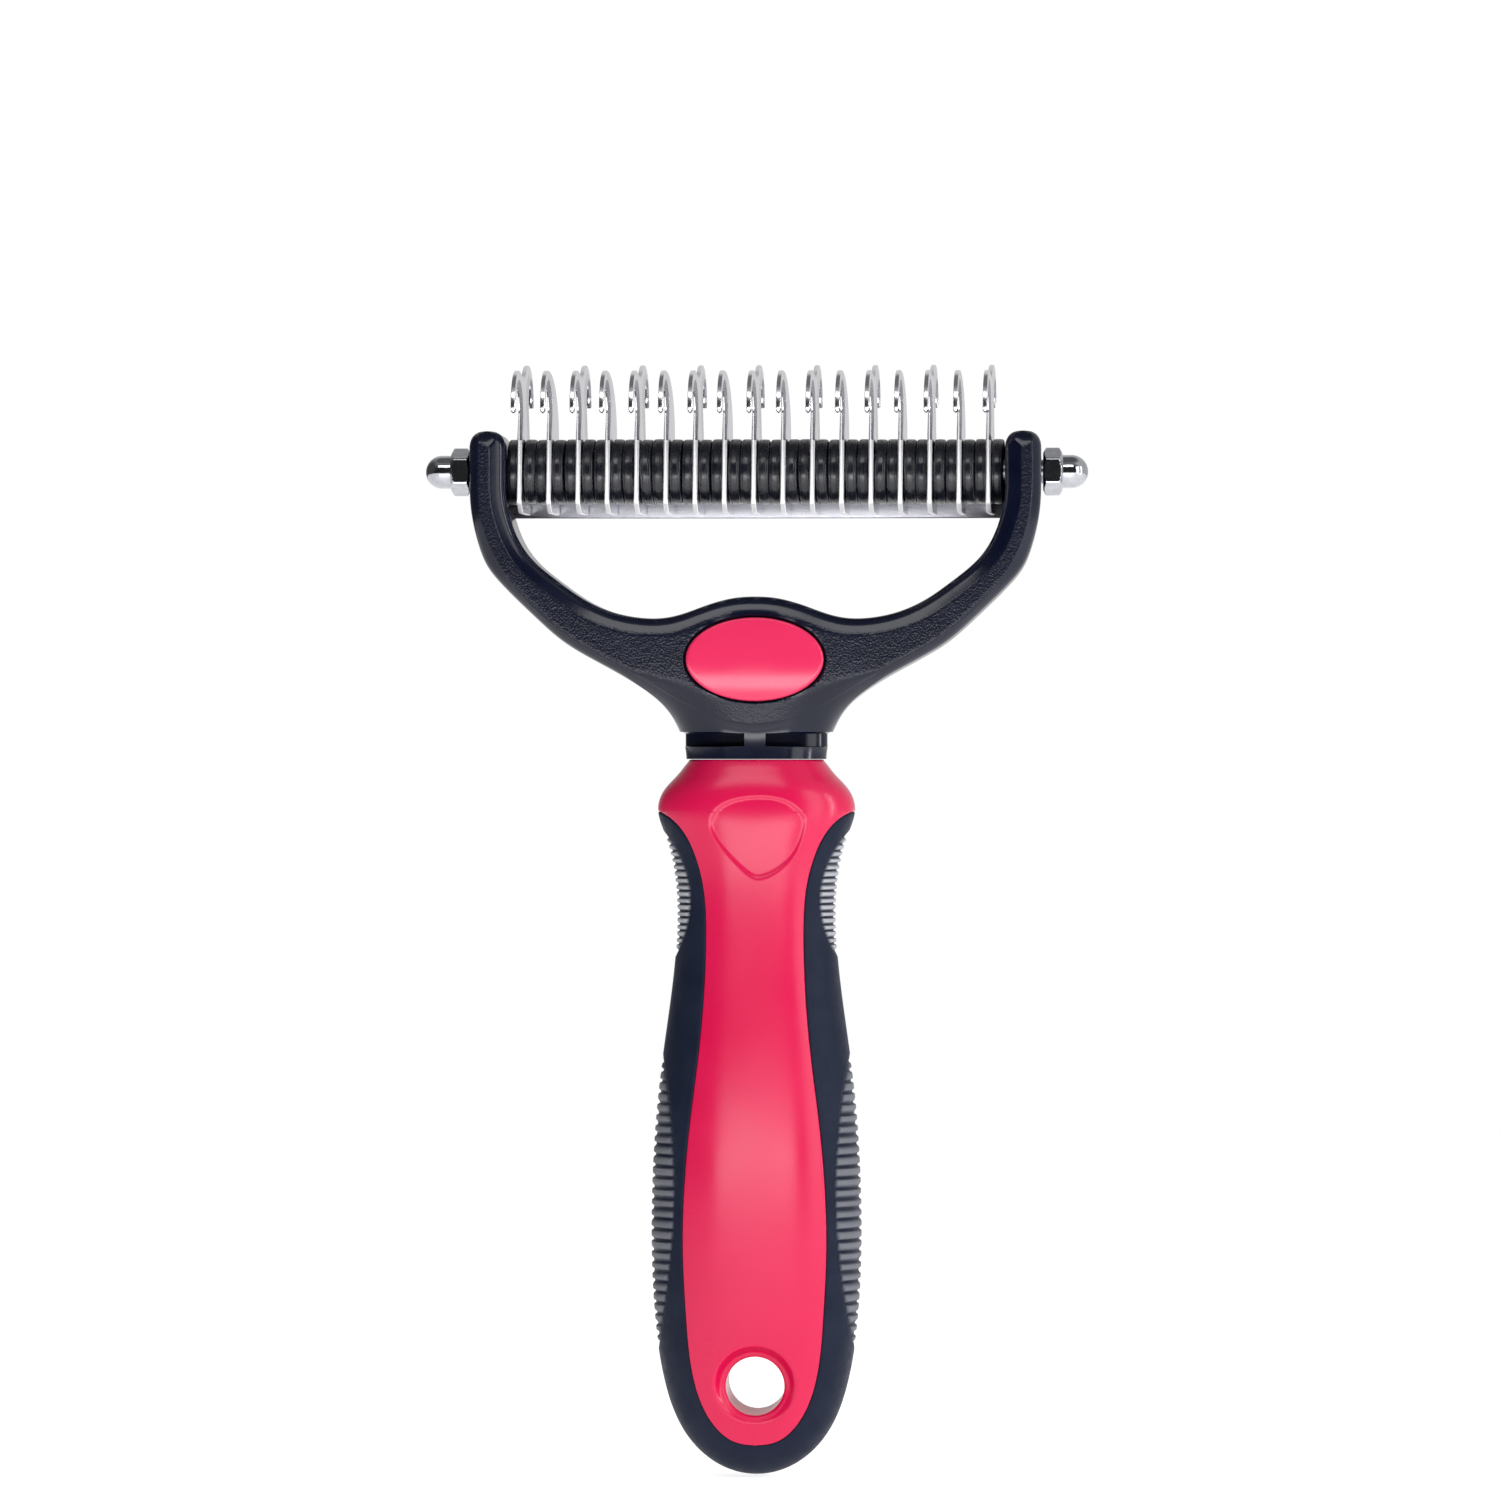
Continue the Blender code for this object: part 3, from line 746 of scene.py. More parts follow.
def panel_upper():
    """The panel's tube of loops from the split up to the shoulder, then the whole shoulder and its top."""
    rows = [mirrored_row(half_panel_row(x, z)) for x, z in panel_levels()]
    loops = [panel_loop(row, SKIRT) for row in rows]
    above = [shoulder_loop(z) for z in np.arange(SEAM_LINE[0][1] + 0.1, SHOULDER_END, 0.22)]
    brim = YOKE_LOWER[0][1] - SHOULDER_GAP
    reach = np.maximum(np.linalg.norm(above[-1][:, :2], axis=1, keepdims=True), 1)
    top = shoulder_loop(HANDLE_SECTIONS[0][0])
    for shrink, drop in SHOULDER_RINGS:
        ring = top.copy()
        ring[:, :2] *= np.maximum(0, 1 - shrink / reach)
        ring[:, 2] = brim - drop
        above.append(ring)
    centre = np.zeros_like(top)
    centre[:, 2] = brim
    above.append(centre)
    return closed(np.array(above[::-1] + loops)), rows[-1]


def foot_front(rays):
    """The front of the foot: smooth, and carved with the lip, the dish and the hole's rounded mouth."""
    x, z = rays[..., 0], rays[..., 1]
    smooth = np.stack([x, -surface_depth(x, z), z], -1)
    carved = sunk(smooth, panel_relief(smooth))
    reach = np.linalg.norm(rays - HOLE_CENTRE, axis=-1)
    floor = -DISH_FLOOR - DISH_SLOPE * (reach - HOLE_RADIUS)
    wall = smoothstep(reach, *DISH_WALL)
    dished = np.maximum(carved[..., 1], floor) * (1 - wall) + carved[..., 1] * wall
    carved[..., 1] = dished + rounding(reach - HOLE_RADIUS, HOLE_ROUND)
    return smooth, carved


def panel_foot(split_row):
    """The panel round the hanging hole: rays from the hole to the seam and the split row, front and back."""
    low = SEAM_LINE[SPLIT_AT:][::3]
    if low[-1][0] != 0:
        low = np.concatenate([low, SEAM_LINE[-1:]])
    low[0] = split_row[-1][[0, 2]]
    seam = np.concatenate([low * (-1, 1), low[::-1][1:]])
    bridge = split_row[::-1][1:-1][:, [0, 2]]
    rays = []
    for point in np.concatenate([seam, bridge]):
        run = point - HOLE_CENTRE
        length = np.linalg.norm(run)
        places = HOLE_RADIUS + spread(length - HOLE_RADIUS, 16, HOLE_STEPS, LIP_STEPS)
        rays.append(HOLE_CENTRE + places[:, None] * run / length)
    smooth, carved = foot_front(np.array(rays))
    count = len(seam)
    edge = carved[:count, -1]
    skirt = sunk(smooth[:count, -1], np.full(count, SKIRT))
    side = np.stack([edge, skirt, back_of(skirt), back_of(edge)], 1)
    mouth = carved[:, 0]
    bore = np.stack([mouth * (1, s, 1) for s in np.linspace(1, -1, 9)], 1)
    ring = np.concatenate([carved, carved[:1]])
    return [ring, back_of(ring), side, np.concatenate([bore, bore[:1]])]


def add_handle(shade):
    upper, split_row = panel_upper()
    grids = [to_frame(grid) for grid in [upper] + panel_foot(split_row)]
    piece("handle_core", mesh_of(grids, 50), [shade])


def rib_relief(x, z):
    """Depth of the ribbed pockets on the sides of the grip, and how strong a highlight is painted on the ribs
    in them.
    """
    depth, painted_sheen = np.zeros_like(x), np.zeros_like(x)
    for middle_height, half_height, bulge, pitch, sheen_strength in RIB_ZONES:
        swell = 1 - ((z - middle_height) / half_height) ** 2
        reach = np.abs(x) - (half_width(z) - bulge * np.clip(swell, 0, 1))
        reach = np.where(swell > 0, reach, -1)
        pocket = smoothstep(reach, 0.0, 0.22)
        tooth = smoothstep(np.cos(2 * pi * (z - middle_height) / pitch), -0.65, 0.05)
        rib = tooth * smoothstep(reach, 0.35, 0.6)
        depth += POCKET_DEPTH * pocket * (1 - 0.9 * rib)
        # The ribs' painted highlight, as strong as each zone gives.
        painted_sheen += sheen_strength * rib
    return depth, painted_sheen


def grip_levels():
    """Seam places for the grip's rows: seven to a rib in the ribbed zones, wider elsewhere."""
    rows, last = [SEAM_LINE[0]], SEAM_LINE[0]
    for point in SEAM_LINE[1:]:
        step = 0.34
        for middle_height, half_height, _, pitch, _ in RIB_ZONES:
            if abs(point[1] - middle_height) < half_height:
                step = pitch / 7
        if np.hypot(*(point - last)) >= step:
            rows.append(point)
            last = point
    rows[-1] = SEAM_LINE[-1]
    return np.array(rows)


def grip_row(x, z):
    """From the front seam out to the silhouette, along the plane through the handle's spine and the seam."""
    spine = np.array([0, max(z, FAN_CENTRE)])
    run = np.array([x, z]) - spine
    start = np.linalg.norm(run)
    run = run / start
    reach = np.linspace(start, start + 25, 2000)
    flat = spine + reach[:, None] * run
    share = np.where(flat[:, 1] > 0, np.abs(flat[:, 0]) / np.maximum(half_width(flat[:, 1]), 1e-6), 9)
    share = np.where((np.abs(flat[:, 0]) < 1e-6) & (flat[:, 1] > 0), 0, share)
    last = reach[np.argmax(share >= 1) - 1] if (share >= 1).any() else reach[-1]
    if abs(run[0]) > 0.999:
        last = half_width(z)
    turn = np.linspace(0, pi / 2, 160)
    flat = spine + (start + (last - start) * np.sin(turn))[:, None] * run
    depth = surface_depth(flat[:, 0], np.maximum(flat[:, 1], 0))
    depth[-1] = 0
    return np.stack([flat[:, 0], -depth, flat[:, 1]], -1)


def add_grip(shade):
    rows = []
    for x, z in grip_levels():
        front = grip_row(x, z)
        length = along(front)[-1]
        half = resample(front, spread(length, GRIP_COLUMNS, LIP_STEPS))
        rows.append(np.concatenate([half, back_of(half)[::-1][1:]]))
    right = np.array(rows)
    x, z = right[..., 0], right[..., 2]
    # The painted highlight on the ribs goes along as a mark on the mesh.
    ribs, painted_sheen = rib_relief(x, z)
    outer = sunk(right, rounding(seam_gap(x, z), LIP) + ribs)
    inner = sunk(right[:, [-1, 0]], np.full((len(right), 2), SKIRT))
    loops = np.concatenate([outer, inner], axis=1)
    painted_sheen = np.concatenate([painted_sheen, np.zeros((len(right), 2))], axis=1)
    grid = np.concatenate([loops * (-1, 1, 1), loops[::-1][1:]])
    painted_sheen = np.concatenate([painted_sheen, painted_sheen[::-1][1:]])
    tips = [grid[:1].mean(axis=1, keepdims=True), grid[-1:].mean(axis=1, keepdims=True)]
    caps = [np.repeat(tip, grid.shape[1], axis=1) for tip in tips]
    grid = closed(to_frame(np.concatenate([caps[0], grid, caps[1]])))
    painted_sheen = closed(np.concatenate([painted_sheen[:1] * 0, painted_sheen, painted_sheen[:1] * 0]))
    piece("grip", mesh_of([grid], 50, {"painted_sheen": [painted_sheen]}), [shade])


# Yoke


def yoke_rails():
    """Points on the yoke's upper and lower edges, right half, matched in pairs, closed over the arm's top."""
    where = np.concatenate([np.linspace(i, i + 1, n, endpoint=False) for i, n in enumerate(RAIL_STEPS)])
    where = np.append(where, len(RAIL_STEPS))
    mirrored = [(-x, z) for x, z in YOKE_UPPER[2:0:-1]]
    upper = spline(np.arange(-2, len(YOKE_UPPER)), mirrored + list(YOKE_UPPER), where)
    curved = spline(np.arange(NECK_CORNER, len(YOKE_LOWER)), YOKE_LOWER[NECK_CORNER:], where)
    across = where / NECK_CORNER * YOKE_LOWER[NECK_CORNER][0]
    straight = np.stack([across, np.full_like(where, YOKE_LOWER[0][1])], -1)
    lower = np.where((where < NECK_CORNER)[:, None], straight, curved)
    middle_x = (upper[-1][0] + lower[-1][0]) / 2
    half, rise = (lower[-1][0] - upper[-1][0]) / 2, ARM_TOP - upper[-1][1]
    turn = np.linspace(0, pi / 2, 16)[1:]
    reach, up = half * np.cos(turn) ** 0.7, upper[-1][1] + rise * np.sin(turn) ** 0.9
    upper = np.concatenate([upper, np.stack([middle_x - reach, up], -1)])
    lower = np.concatenate([lower, np.stack([middle_x + reach, up], -1)])
    return upper, lower


def neck_depth(x, z):
    """Half depth of the oval trunk that the yoke grows from, opening out as it rises."""
    table = np.array(NECK_SECTIONS)
    heights = np.linspace(table[0, 0], table[-1, 0], 600)
    smooth = spline(table[:, 0], table[:, 1:], heights)
    w, d = np.interp(z, heights, smooth[:, 0]), np.interp(z, heights, smooth[:, 1])
    share = np.clip(np.abs(x) / w, 0, 1)
    return d * (1 - share ** SECTION_POWER) ** (1 / SECTION_POWER)


def plateau_lean(z):
    """How far the flat face leans back towards the neck."""
    return DOME_BEND * np.clip(DOME_START - z, 0, DOME_START - DOME_END) ** 2


CREASE_LINE = smooth_line(PLATEAU_EDGE, 0.4)


def off_plateau(flat):
    """Whether each place lies outside the lower edge of the flat face."""
    x, z = flat[..., 0], flat[..., 1]
    below = z < np.interp(x, CREASE_LINE[:, 0], CREASE_LINE[:, 1])
    beside = x > np.interp(z, CREASE_LINE[:, 1], CREASE_LINE[:, 0])
    return np.where(z > ARM_STARTS, beside, below)


def plateau_end(top, bottom):
    """The share of the way from the upper to the lower edge at which the flat face ends."""
    share = np.linspace(0.1, 0.92, 400)
    off = off_plateau(top + share[:, None] * (bottom - top))
    return share[np.argmax(off)] if off.any() else share[-1]


def yoke_depth(flat, upper, lower):
    """Half depth of the yoke over its outline, and how much of each place is textured plateau."""
    x, z = flat[..., 0], flat[..., 1]
    gap_edge = distance(flat, CREASE_LINE)
    outside = off_plateau(flat)
    beyond = np.where(outside, gap_edge, 0)
    gap_upper = distance(flat, upper[::2])
    gap_lower = distance(flat, lower[LOWER_EDGE_FROM::2])
    depth = YOKE_DEPTH - plateau_lean(z)
    fall = CREASE_SLOPE / CREASE_DROP * (np.sqrt(beyond ** 2 + 0.04) - 0.2)
    depth = depth - CREASE_DROP * (1 - np.exp(-fall))
    chamfer = UPPER_RIM - gap_upper
    depth = depth - UPPER_SLOPE * (chamfer + np.sqrt(chamfer ** 2 + 0.03)) / 2
    depth = depth - rounding(gap_upper, UPPER_ROUND)
    arm = smoothstep(z, *LOWER_RIM_STARTS)
    side = depth - rounding(gap_lower, LOWER_RIM)
    depth = depth + (side - depth) * arm
    depth = soft_min(depth, neck_depth(x, z), NECK_BLEND)
    plateau = smoothstep(gap_upper, UPPER_RIM - 0.25, UPPER_RIM + 0.1)
    plateau = plateau * np.where(outside, 1 - smoothstep(gap_edge, 0.05, 0.35), 1)
    return np.maximum(depth, THINNEST), plateau


def add_yoke(shade):
    upper, lower = yoke_rails()
    rows = []
    for top, bottom in zip(upper, lower):
        length = np.linalg.norm(bottom - top)
        crease = plateau_end(top, bottom) * length
        face = spread(crease, 22, EDGE_STEPS, CREASE_STEPS)
        slope = crease + spread(length - crease, 14, CREASE_STEPS, EDGE_STEPS)[1:]
        share = np.concatenate([face, slope]) / max(length, 1e-9)
        rows.append(top + share[:, None] * (bottom - top))
    flat = np.array(rows)
    depth, plateau = yoke_depth(flat, upper, lower)
    right = np.stack([flat[..., 0], -depth, flat[..., 1]], -1)
    front = np.concatenate([(right * (-1, 1, 1))[::-1], right[1:]])
    mark = np.concatenate([plateau[::-1], plateau[1:]])
    back = back_of(front)
    walls = [np.stack([front[:, i] * (1, s, 1) for s in np.linspace(1, -1, 7)], 1) for i in (0, -1)]
    tips = [np.stack([front[i] * (1, s, 1) for s in np.linspace(1, -1, 7)], 1) for i in (0, -1)]
    grids = [to_frame(grid) for grid in (front, back, *walls, *tips)]
    marks = {"plateau": [mark, mark] + [np.zeros(w.shape[:2]) for w in (*walls, *tips)]}
    yoke = piece("yoke", mesh_of(grids, SHARP, marks), [shade])
    for side in (-1, 1):
        cut(yoke, recess_mesh(side))
    cut(yoke, groove_mesh())
    cut(yoke, mesh_of([bore_grid(CAD_HIGH.x, AXLE_RADIUS + 0.3 * MM)]))


def oval_row(half_wide, half_tall, count=160):
    turn = np.arange(count) * 2 * pi / count
    return half_wide * np.cos(turn), half_tall * np.sin(turn)


def recess_mesh(side):
    """The oval pocket that takes a badge, its mouth a little wider."""
    rings = []
    layers = ((RECESS_FLOOR, -30), (RECESS_FLOOR, 0), (YOKE_DEPTH - 0.35, 0), (YOKE_DEPTH + 0.6, 0.55),
              (YOKE_DEPTH + 1, 0.55), (YOKE_DEPTH + 1, -30))
    for depth, grow in layers:
        x, z = oval_row(max(0, BADGE_SIZE[0] + BADGE_GAP + grow), max(0, BADGE_SIZE[1] + BADGE_GAP + grow))
        rings.append(np.stack([x, np.full_like(x, side * depth), BADGE_HEIGHT + z], -1))
    return mesh_of([closed(to_frame(np.array(rings)))])


def groove_mesh():
    """The neck's two slots: deep in front and behind, shallow at the sides, with slightly opened edges."""
    low, high = GROOVE
    grids = []
    for side in (-1, 1):
        rows = []
        for angle in np.radians(np.linspace(-82, 82, 90)):
            x = NECK_SECTIONS[1][1] * cos(angle) ** (2 / SECTION_POWER)
            y = NECK_SECTIONS[1][2] * abs(sin(angle)) ** (2 / SECTION_POWER) * np.sign(angle)
            floor = (x * GROOVE_FLOOR[0], y * GROOVE_FLOOR[1])
            reach = np.hypot(x, y)
            lip, brim, far = ((x * k, y * k) for k in (1 - 0.14 / reach, 1 + 0.25 / reach, 1.6))
            under, over = low - GROOVE_OPENING, high + GROOVE_OPENING
            rows.append([(*floor, low), (*lip, low), (*brim, under), (*far, under),
                         (*far, over), (*brim, over), (*lip, high), (*floor, high)])
        grid = np.array(rows)
        grid[[0, -1], :, 0] = WEB_HALF
        grid = grid * (side, 1, 1)
        ends = [np.repeat(grid[[i]].mean(axis=1, keepdims=True), grid.shape[1], axis=1) for i in (0, -1)]
        grids.append(closed(to_frame(np.concatenate([ends[0], grid, ends[1]]))))
    return mesh_of(grids)


def bore_grid(reach, radius):
    profile = [(-reach, 0), (-reach, radius), (reach, radius), (reach, 0)]
    return turned(profile, 48) + np.array(AXLE)


def add_badges(shade):
    for side, name in ((-1, "badge_front"), (1, "badge_back")):
        rings = []
        wide, tall = BADGE_SIZE
        for margin in BADGE_RINGS:
            x, z = oval_row(max(wide - margin, 0), max(tall - margin * tall / wide, 0))
            dome = 0.5 - 0.15 * (x / wide) ** 2 - 0.5 * (z / tall) ** 2
            lean = plateau_lean(BADGE_HEIGHT + z)
            depth = YOKE_DEPTH - 0.2 + dome - lean - rounding(np.full_like(x, margin), BADGE_ROUND)
            rings.append(np.stack([x, side * depth, BADGE_HEIGHT + z], -1))
        x, z = oval_row(wide, tall)
        for layer_x, layer_z in ((x, z), (0 * x, 0 * z)):
            floor = np.full_like(x, side * (RECESS_FLOOR + 0.2))
            rings.append(np.stack([layer_x, floor, BADGE_HEIGHT + layer_z], -1))
        piece(name, mesh_of([closed(to_frame(np.array(rings)))], 45), [shade])


# Blades


def arc(centre, size, start, end, count):
    angle = np.radians(np.linspace(start, end, count))
    return np.stack([centre[0] + size[0] * np.cos(angle), centre[1] + size[1] * np.sin(angle)], -1)


def corner(points, radius, count=5):
    """A chain of straight sides whose inner corners are rounded."""
    points = np.array(points, float)
    made = [points[:1]]
    for before, here, after in zip(points[:-2], points[1:-1], points[2:]):
        first = here + (before - here) / np.linalg.norm(before - here) * radius
        last = here + (after - here) / np.linalg.norm(after - here) * radius
        t = np.linspace(0, 1, count)[:, None]
        made.append((1 - t) ** 2 * first + 2 * t * (1 - t) * here + t * t * last)
    made.append(points[-1:])
    return np.concatenate(made)


def rounded(points):
    """Points of the outline with the width of a merely rounded edge."""
    return points, np.full(len(points), BLADE_ROUND)


def rear_hook(start):
    """The saddle behind the front hook and the hook to the back, with their widths."""
    saddle = smooth_line((start,) + SADDLE, 0.5)[1:-1]
    eye = arc(REAR_EYE, REAR_EYE_SIZE, 176, 0, 24)
    ground = np.concatenate([np.linspace(0.3, 0.9, 12), np.linspace(0.9, 1.1, 12)])
    return [rounded(saddle), rounded(arc(REAR_HOOK, REAR_SIZE, 92, 182, 24)),
            (np.array(REAR_TIP), np.full(len(REAR_TIP), 0.15)), (eye, ground)]


def blade_outline(double):
    """The profile as (forward, up) points, the border's width at each, and how many are on the heel."""
    eye = arc(FRONT_EYE, (FRONT_EYE_RADIUS,) * 2, 180, 4, 34)
    ground = np.concatenate([np.linspace(2.2, 1.7, 17), np.linspace(1.65, 0.55, 17)])
    outside = arc(FRONT_HOOK, (FRONT_REACH,) * 2, -2, 96, 26)
    parts = [(eye, ground), (np.array(FRONT_TIP), np.full(len(FRONT_TIP), 0.3)), rounded(outside)]
    if double:
        parts += rear_hook(tuple(outside[-1]))
    else:
        centre = (FRONT_HOOK[0], FRONT_HOOK[1] + FRONT_REACH - SPINE_SIZE[1])
        parts.append(rounded(arc(centre, SPINE_SIZE, 98, 174, 34)))
    heel = corner([parts[-1][0][-1], *HEEL], 0.5)[1:-1]
    parts.append((heel, np.where((heel[:, 0] > 5) & (heel[:, 1] > 5), 1.2, BLADE_ROUND)))
    return np.concatenate([p for p, _ in parts]), np.concatenate([w for _, w in parts]), len(heel)


def inset(outline, widths):
    """Each point moved inwards by its width, square to the outline."""
    run = np.roll(outline, -1, axis=0) - np.roll(outline, 1, axis=0)
    run = run / np.maximum(np.linalg.norm(run, axis=1, keepdims=True), 1e-9)
    area = np.sum(outline[:, 0] * np.roll(outline[:, 1], -1) - np.roll(outline[:, 0], -1) * outline[:, 1])
    inward = np.stack([-run[:, 1], run[:, 0]], -1) * np.sign(area)
    return outline + inward * widths[:, None]


def blade_mesh(double):
    """Flat sides, a border that is ground thin along the cutting edges, and rounded edges elsewhere."""
    outline, widths, sheared = blade_outline(double)
    half = BLADE_THICKNESS / 2
    edge_half = np.where(widths > 0.2, 0.09, half - 0.12)
    side_half = np.full(len(outline), half)
    shoulder = inset(outline, widths)
    layers = [(shoulder, -side_half), (outline, -edge_half), (outline, edge_half), (shoulder, side_half)]
    body = bmesh.new()
    rings = []
    for line, halves in layers:
        rings.append([body.verts.new((x * MM, -f * MM, u * MM)) for (f, u), x in zip(line, halves)])
    count = len(outline)
    for layer, (low, high) in enumerate(zip(rings, rings[1:])):
        for i in range(count):
            j = (i + 1) % count
            face = body.faces.new((low[i], low[j], high[j], high[i]))
            if layer != 1 and widths[i] > 0.4:
                face.material_index = 1
            elif i >= count - sheared:
                face.material_index = 2
    caps = [body.faces.new(rings[0]), body.faces.new(rings[-1])]
    bmesh.ops.recalc_face_normals(body, faces=body.faces)
    bmesh.ops.triangulate(body, faces=caps, quad_method="BEAUTY", ngon_method="BEAUTY")
    mesh = bpy.data.meshes.new("blade")
    body.to_mesh(mesh)
    body.free()
    mesh.shade_smooth()
    mesh.set_sharp_from_angle(angle=radians(25))
    return mesh


def add_blades(shades):
    meshes = [blade_mesh(True), blade_mesh(False)]
    for number, name in enumerate(BLADES):
        place = ((number - (len(BLADES) - 1) / 2) * PITCH, AXLE.y, AXLE.z)
        mesh = meshes[number % 2].copy()
        piece(name, mesh, shades, place=place, turn=(0, 0, BLADE_SKEW))


# Washers, axle, rail and nuts


def washer_grid(rng):
    """A ring with soft shoulders, slightly out of true, as soft rubber under pressure is."""
    half, soft = WASHER_HALF, WASHER_RADIUS - WASHER_ROUND
    turn = np.linspace(0, pi / 2, 6)
    right = [(half - WASHER_ROUND + WASHER_ROUND * sin(t), soft + WASHER_ROUND * cos(t)) for t in turn]
    left = [(-x, r) for x, r in right[::-1]]
    crown = [(x, WASHER_RADIUS + 0.03 - 0.05 * (x / half) ** 2) for x in np.linspace(-0.45, 0.45, 5) * half]
    near, far = [(half, WASHER_BORE), (half, WASHER_FACE)], [(-half, WASHER_FACE), (-half, WASHER_BORE)]
    profile = np.array(near + right + crown[::-1] + left + far + near[:1])
    phases = rng.uniform(0, 2 * pi, 6)
    angle = np.arange(73) * 2 * pi / 72
    wobble = sum(0.035 / k * np.sin(k * angle + phases[k - 1]) for k in (1, 2, 3))
    shift = sum(0.05 / k * np.sin(k * angle + phases[k + 2]) for k in (1, 2, 3))
    grid = turned(profile, 72)
    outer = smoothstep(profile[:, 1], WASHER_FACE, soft)[:, None]
    grid[..., 1:] *= 1 + (outer * wobble / WASHER_RADIUS)[..., None]
    grid[..., 0] += outer * shift
    return grid * MM


def add_washers(shade):
    rng = np.random.default_rng(7)
    for name in WASHERS:
        mesh = mesh_of([washer_grid(rng)], 60)
        roll = rng.uniform(0, 2 * pi)
        nod, swing = radians(rng.uniform(-0.7, 0.7)), radians(rng.uniform(-0.9, 0.9))
        turn = (roll, nod, BLADE_SKEW + swing)
        piece(name, mesh, [shade], place=middle(name), turn=turn)


def add_axle(shade):
    end, radius, bevel = AXLE_END, AXLE_RADIUS, 0.4 * MM
    profile = [(-end, 0), (-end, radius - bevel), (-end + bevel, radius),
               (end - bevel, radius), (end, radius - bevel), (end, 0)]
    piece("axle", mesh_of([turned(profile, 48) + np.array(AXLE)]), [shade])


def add_rail(shade):
    """A flat bar with eased edges."""
    low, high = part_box("blade_rail")
    centre, half = (low + high) / 2, (high - low) / 2
    ease = 0.2 * MM
    loop = []
    for side_y, side_z, first in ((1, 1, 0), (-1, 1, 90), (-1, -1, 180), (1, -1, 270)):
        for turn in np.radians(np.linspace(first, first + 90, 5)):
            y = side_y * (half.y - ease) + ease * cos(turn)
            z = side_z * (half.z - ease) + ease * sin(turn)
            loop.append((y, z))
    rings = []
    ends = ((-half.x, 0), (-half.x, 0.9), (-half.x + ease, 1))
    for x, scale in ends + tuple((-x, scale) for x, scale in ends[::-1]):
        rings.append([(centre.x + x, centre.y + y * scale, centre.z + z * scale) for y, z in loop])
    piece("blade_rail", mesh_of([closed(np.array(rings))]), [shade])


def nut_grid():
    """A chamfered hexagon that turns into a drilled dome, from its bearing face outwards."""
    flats = (NUT_HIGH.y - NUT_LOW.y) / 2 / MM
    shoulder = (NUT_HIGH.x - NUT_LOW.x) / MM - NUT_DOME
    profile = [(NUT_DRILLED, 0), (NUT_DRILLED, NUT_BORE), (0.3, NUT_BORE), (0, NUT_BORE + 0.3), (0, NUT_FACE)]
    profile += [(x, ON_HEXAGON) for x in NUT_STEPS]
    profile += [(NUT_HEX, NUT_FACE), (NUT_HEX, NUT_DOME + 0.12), (NUT_HEX + 0.1, NUT_DOME + 0.02)]
    profile += [(x, NUT_DOME) for x in np.linspace(NUT_HEX + 0.25, shoulder, 5)]
    profile += [(shoulder + NUT_DOME * sin(t), NUT_DOME * cos(t)) for t in np.linspace(0, pi / 2, 22)[1:]]

    def radius_of(radius, x, angle):
        hexagon = flats / np.cos((angle + pi / 6) % (pi / 3) - pi / 6)
        cone = NUT_CHAMFER[0] + NUT_CHAMFER[1] * np.minimum(x, NUT_HEX - x)
        return np.where(radius == ON_HEXAGON, np.minimum(np.minimum(hexagon, cone), NUT_CORNER), radius)

    return turned(profile, 144, radius_of) * MM


def add_nuts(shade):
    for side, name, body in ((-1, "dome_nut_left", "left_nut"), (1, "dome_nut_right", "right_nut")):
        low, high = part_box(name)
        base = low.x if side > 0 else high.x
        grid = nut_grid() * (side, 1, 1) + np.array((base, AXLE.y, AXLE.z))
        piece(name, mesh_of([grid], 22), [shade], body)


# Studio


def add_floor():
    """A pale round table just under the handle."""
    under = (0, 0, BASE - 0.4 * MM)
    bpy.ops.mesh.primitive_circle_add(vertices=128, radius=1.15, fill_type="NGON", location=under)
    floor = bpy.context.object
    floor.name = "floor"
    paint = Shade("floor_paint", Roughness=0.7, Emission_Strength=0.74)
    paint.set("Base Color", (0.93, 0.93, 0.94, 1))
    paint.set("Emission Color", (1, 1, 1, 1))
    floor.data.materials.append(paint.material)


def add_world():
    """A pale room with dark sides in front, overhead and to the left. The camera sees plain white."""
    world = bpy.data.worlds.new("studio")
    bpy.context.scene.world = world
    world.use_nodes = True
    tree = world.node_tree
    sky = tree.nodes["Background"]
    split = tree.nodes.new("ShaderNodeSeparateXYZ")
    tree.links.new(tree.nodes.new("ShaderNodeTexCoord").outputs["Generated"], split.inputs["Vector"])
    shade = ROOM_SHADE
    for axis, dark, light, value in ROOM_SIDES:
        ramp = tree.nodes.new("ShaderNodeMapRange")
        ramp.interpolation_type = "SMOOTHSTEP"
        ramp.inputs["From Min"].default_value = light
        ramp.inputs["From Max"].default_value = dark
        tree.links.new(split.outputs[axis], ramp.inputs["Value"])
        shade = mixed_into(tree, ramp.outputs["Result"], shade, value)
    seen = tree.nodes.new("ShaderNodeLightPath").outputs["Is Camera Ray"]
    tree.links.new(mixed_into(tree, seen, shade, 1.0), sky.inputs["Color"])


def mixed_into(tree, factor, first, second):
    """A grey blended into another grey or into what the nodes made so far."""
    mix = tree.nodes.new("ShaderNodeMix")
    tree.links.new(factor, mix.inputs["Factor"])
    if isinstance(first, float):
        mix.inputs["A"].default_value = first
    else:
        tree.links.new(first, mix.inputs["A"])
    mix.inputs["B"].default_value = second
    return mix.outputs["Result"]


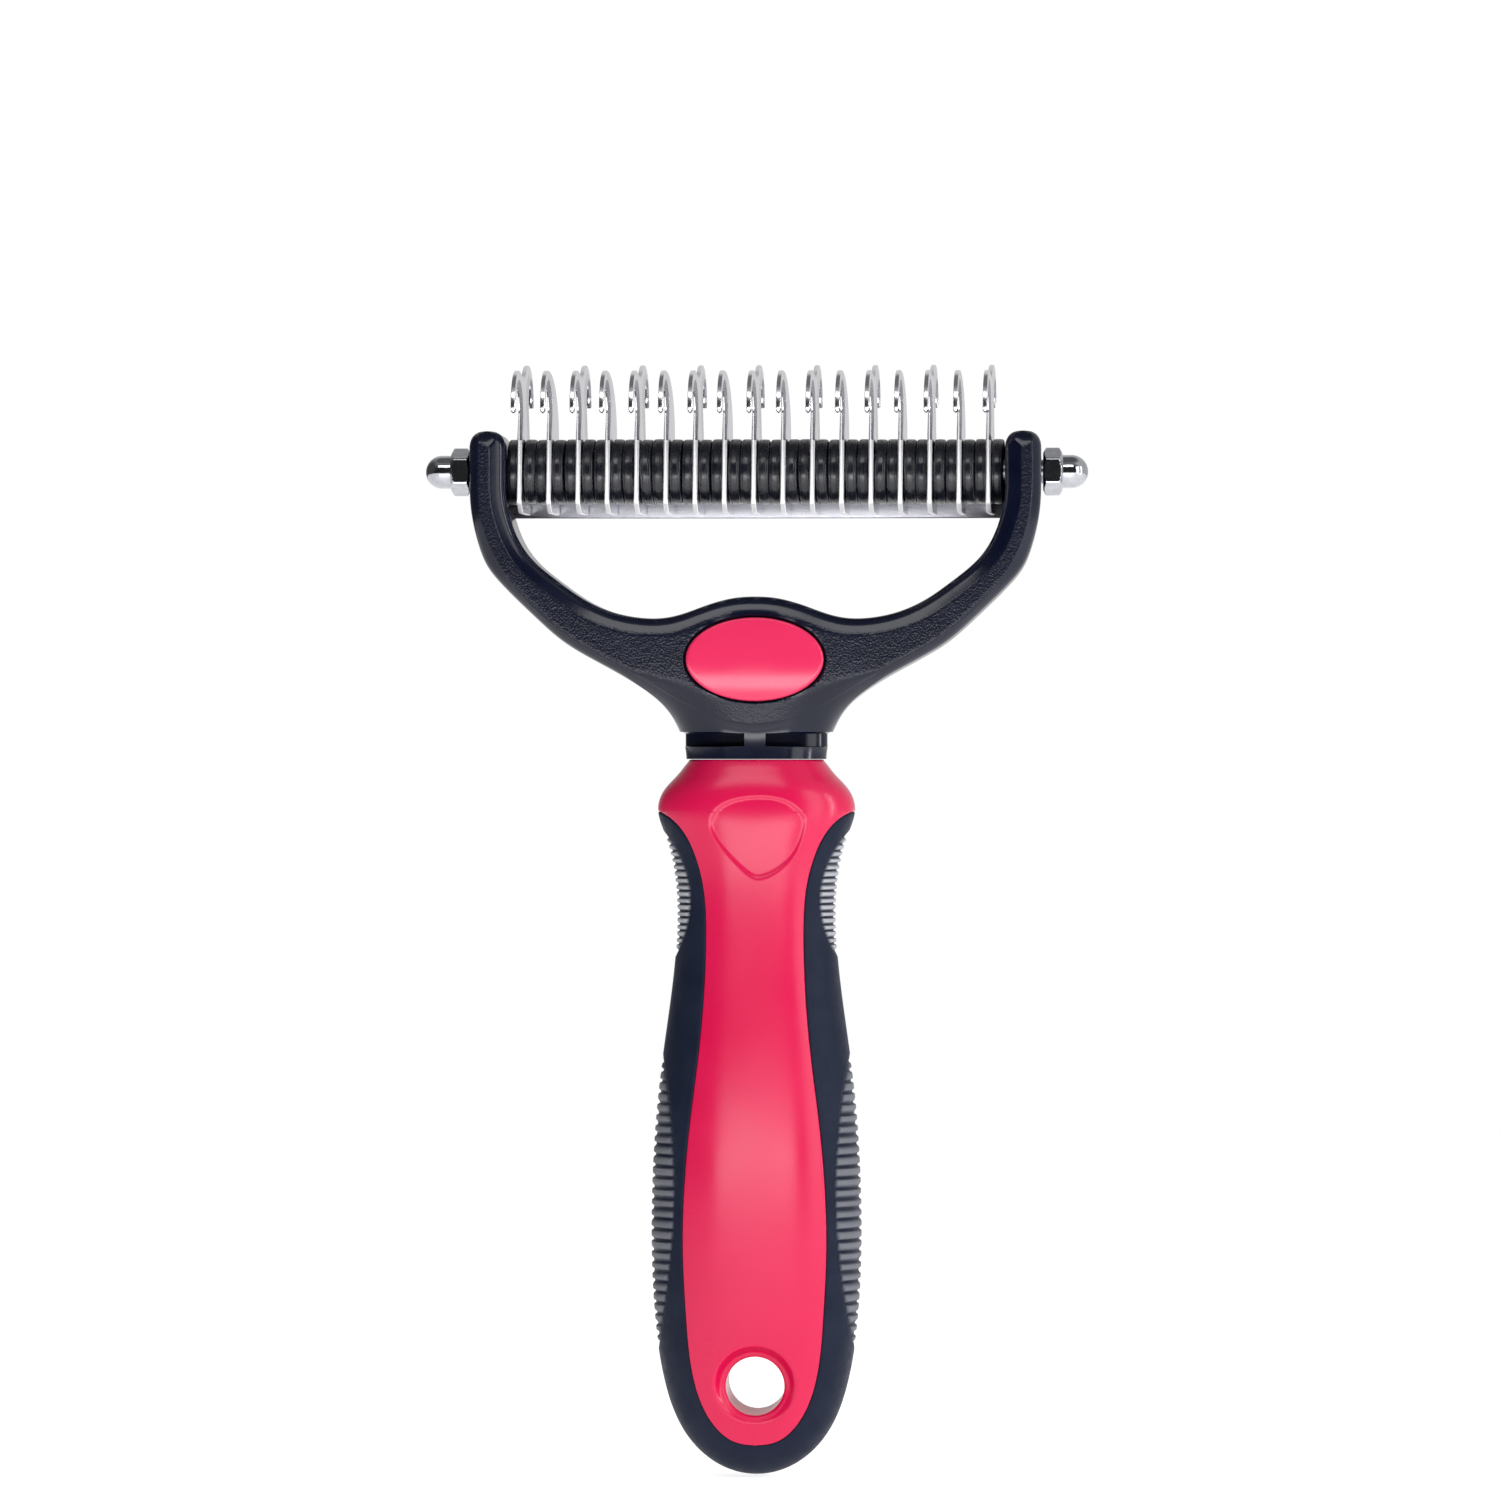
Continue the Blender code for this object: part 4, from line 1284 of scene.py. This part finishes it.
def add_light(name, azimuth, elevation, distance_out, size, power):
    """A soft box aimed at the middle of the rake, bright on the side that faces it."""
    data = bpy.data.lights.new(name, "AREA")
    data.shape = "RECTANGLE"
    data.size, data.size_y = size
    data.energy = power
    light = bpy.data.objects.new(name, data)
    bpy.context.scene.collection.objects.link(light)
    a, e = radians(azimuth), radians(elevation)
    back = Vector((sin(a) * cos(e), -cos(a) * cos(e), sin(e)))
    centre = Vector((0, 0, BASE + 0.11))
    light.location = centre + back * distance_out
    light.rotation_mode = "QUATERNION"
    light.rotation_quaternion = back.to_track_quat("Z", "Y")
    return light


def add_lights():
    for name, azimuth, elevation, distance_out, size, power in LIGHTS:
        add_light(name, azimuth, elevation, distance_out, size, power)
    add_low_card()


def add_low_card():
    """A small bright card low in front, which the badge and the face round it mirror."""
    (x, y, z), size, power = LOW_CARD
    card = add_light("low_card", 0, 0, 0, size, power)
    card.location = x, y, BASE + z


def add_camera():
    data = bpy.data.cameras.new("camera")
    data.sensor_width = 36
    half = atan(VIEW_WIDTH / 2 * MM / DISTANCE)
    data.lens = data.sensor_width / 2 / tan(half)
    data.clip_start, data.clip_end = 0.05, 100
    camera = bpy.data.objects.new("camera", data)
    bpy.context.scene.collection.objects.link(camera)
    back = Vector((sin(AZIMUTH), -cos(AZIMUTH), 0))
    side = Vector((cos(AZIMUTH), sin(AZIMUTH), 0))
    camera.location = back * DISTANCE + side * AIM[0] * MM + Vector((0, 0, BASE + AIM[1] * MM))
    camera.rotation_mode = "QUATERNION"
    camera.rotation_quaternion = back.to_track_quat("Z", "Y")
    bpy.context.scene.camera = camera


def main():
    bpy.context.scene.view_settings.view_transform = "Standard"
    add_camera()
    add_world()
    add_lights()
    add_floor()
    add_handle(pink_plastic("handle_plastic", (0.64, 0.004, 0.066), (0.68, 0.007, 0.076), 0.24))
    add_grip(grip_rubber())
    add_yoke(yoke_plastic())
    add_badges(pink_plastic("badge_plastic", (0.75, 0.028, 0.108), (0.78, 0.033, 0.118), 0.14))
    add_blades([blade_steel(), ground_steel(), cut_edge()])
    add_washers(washer_rubber())
    add_axle(brushed_steel("axle_steel"))
    add_rail(brushed_steel("rail_steel"))
    add_nuts(nut_chrome())


main()
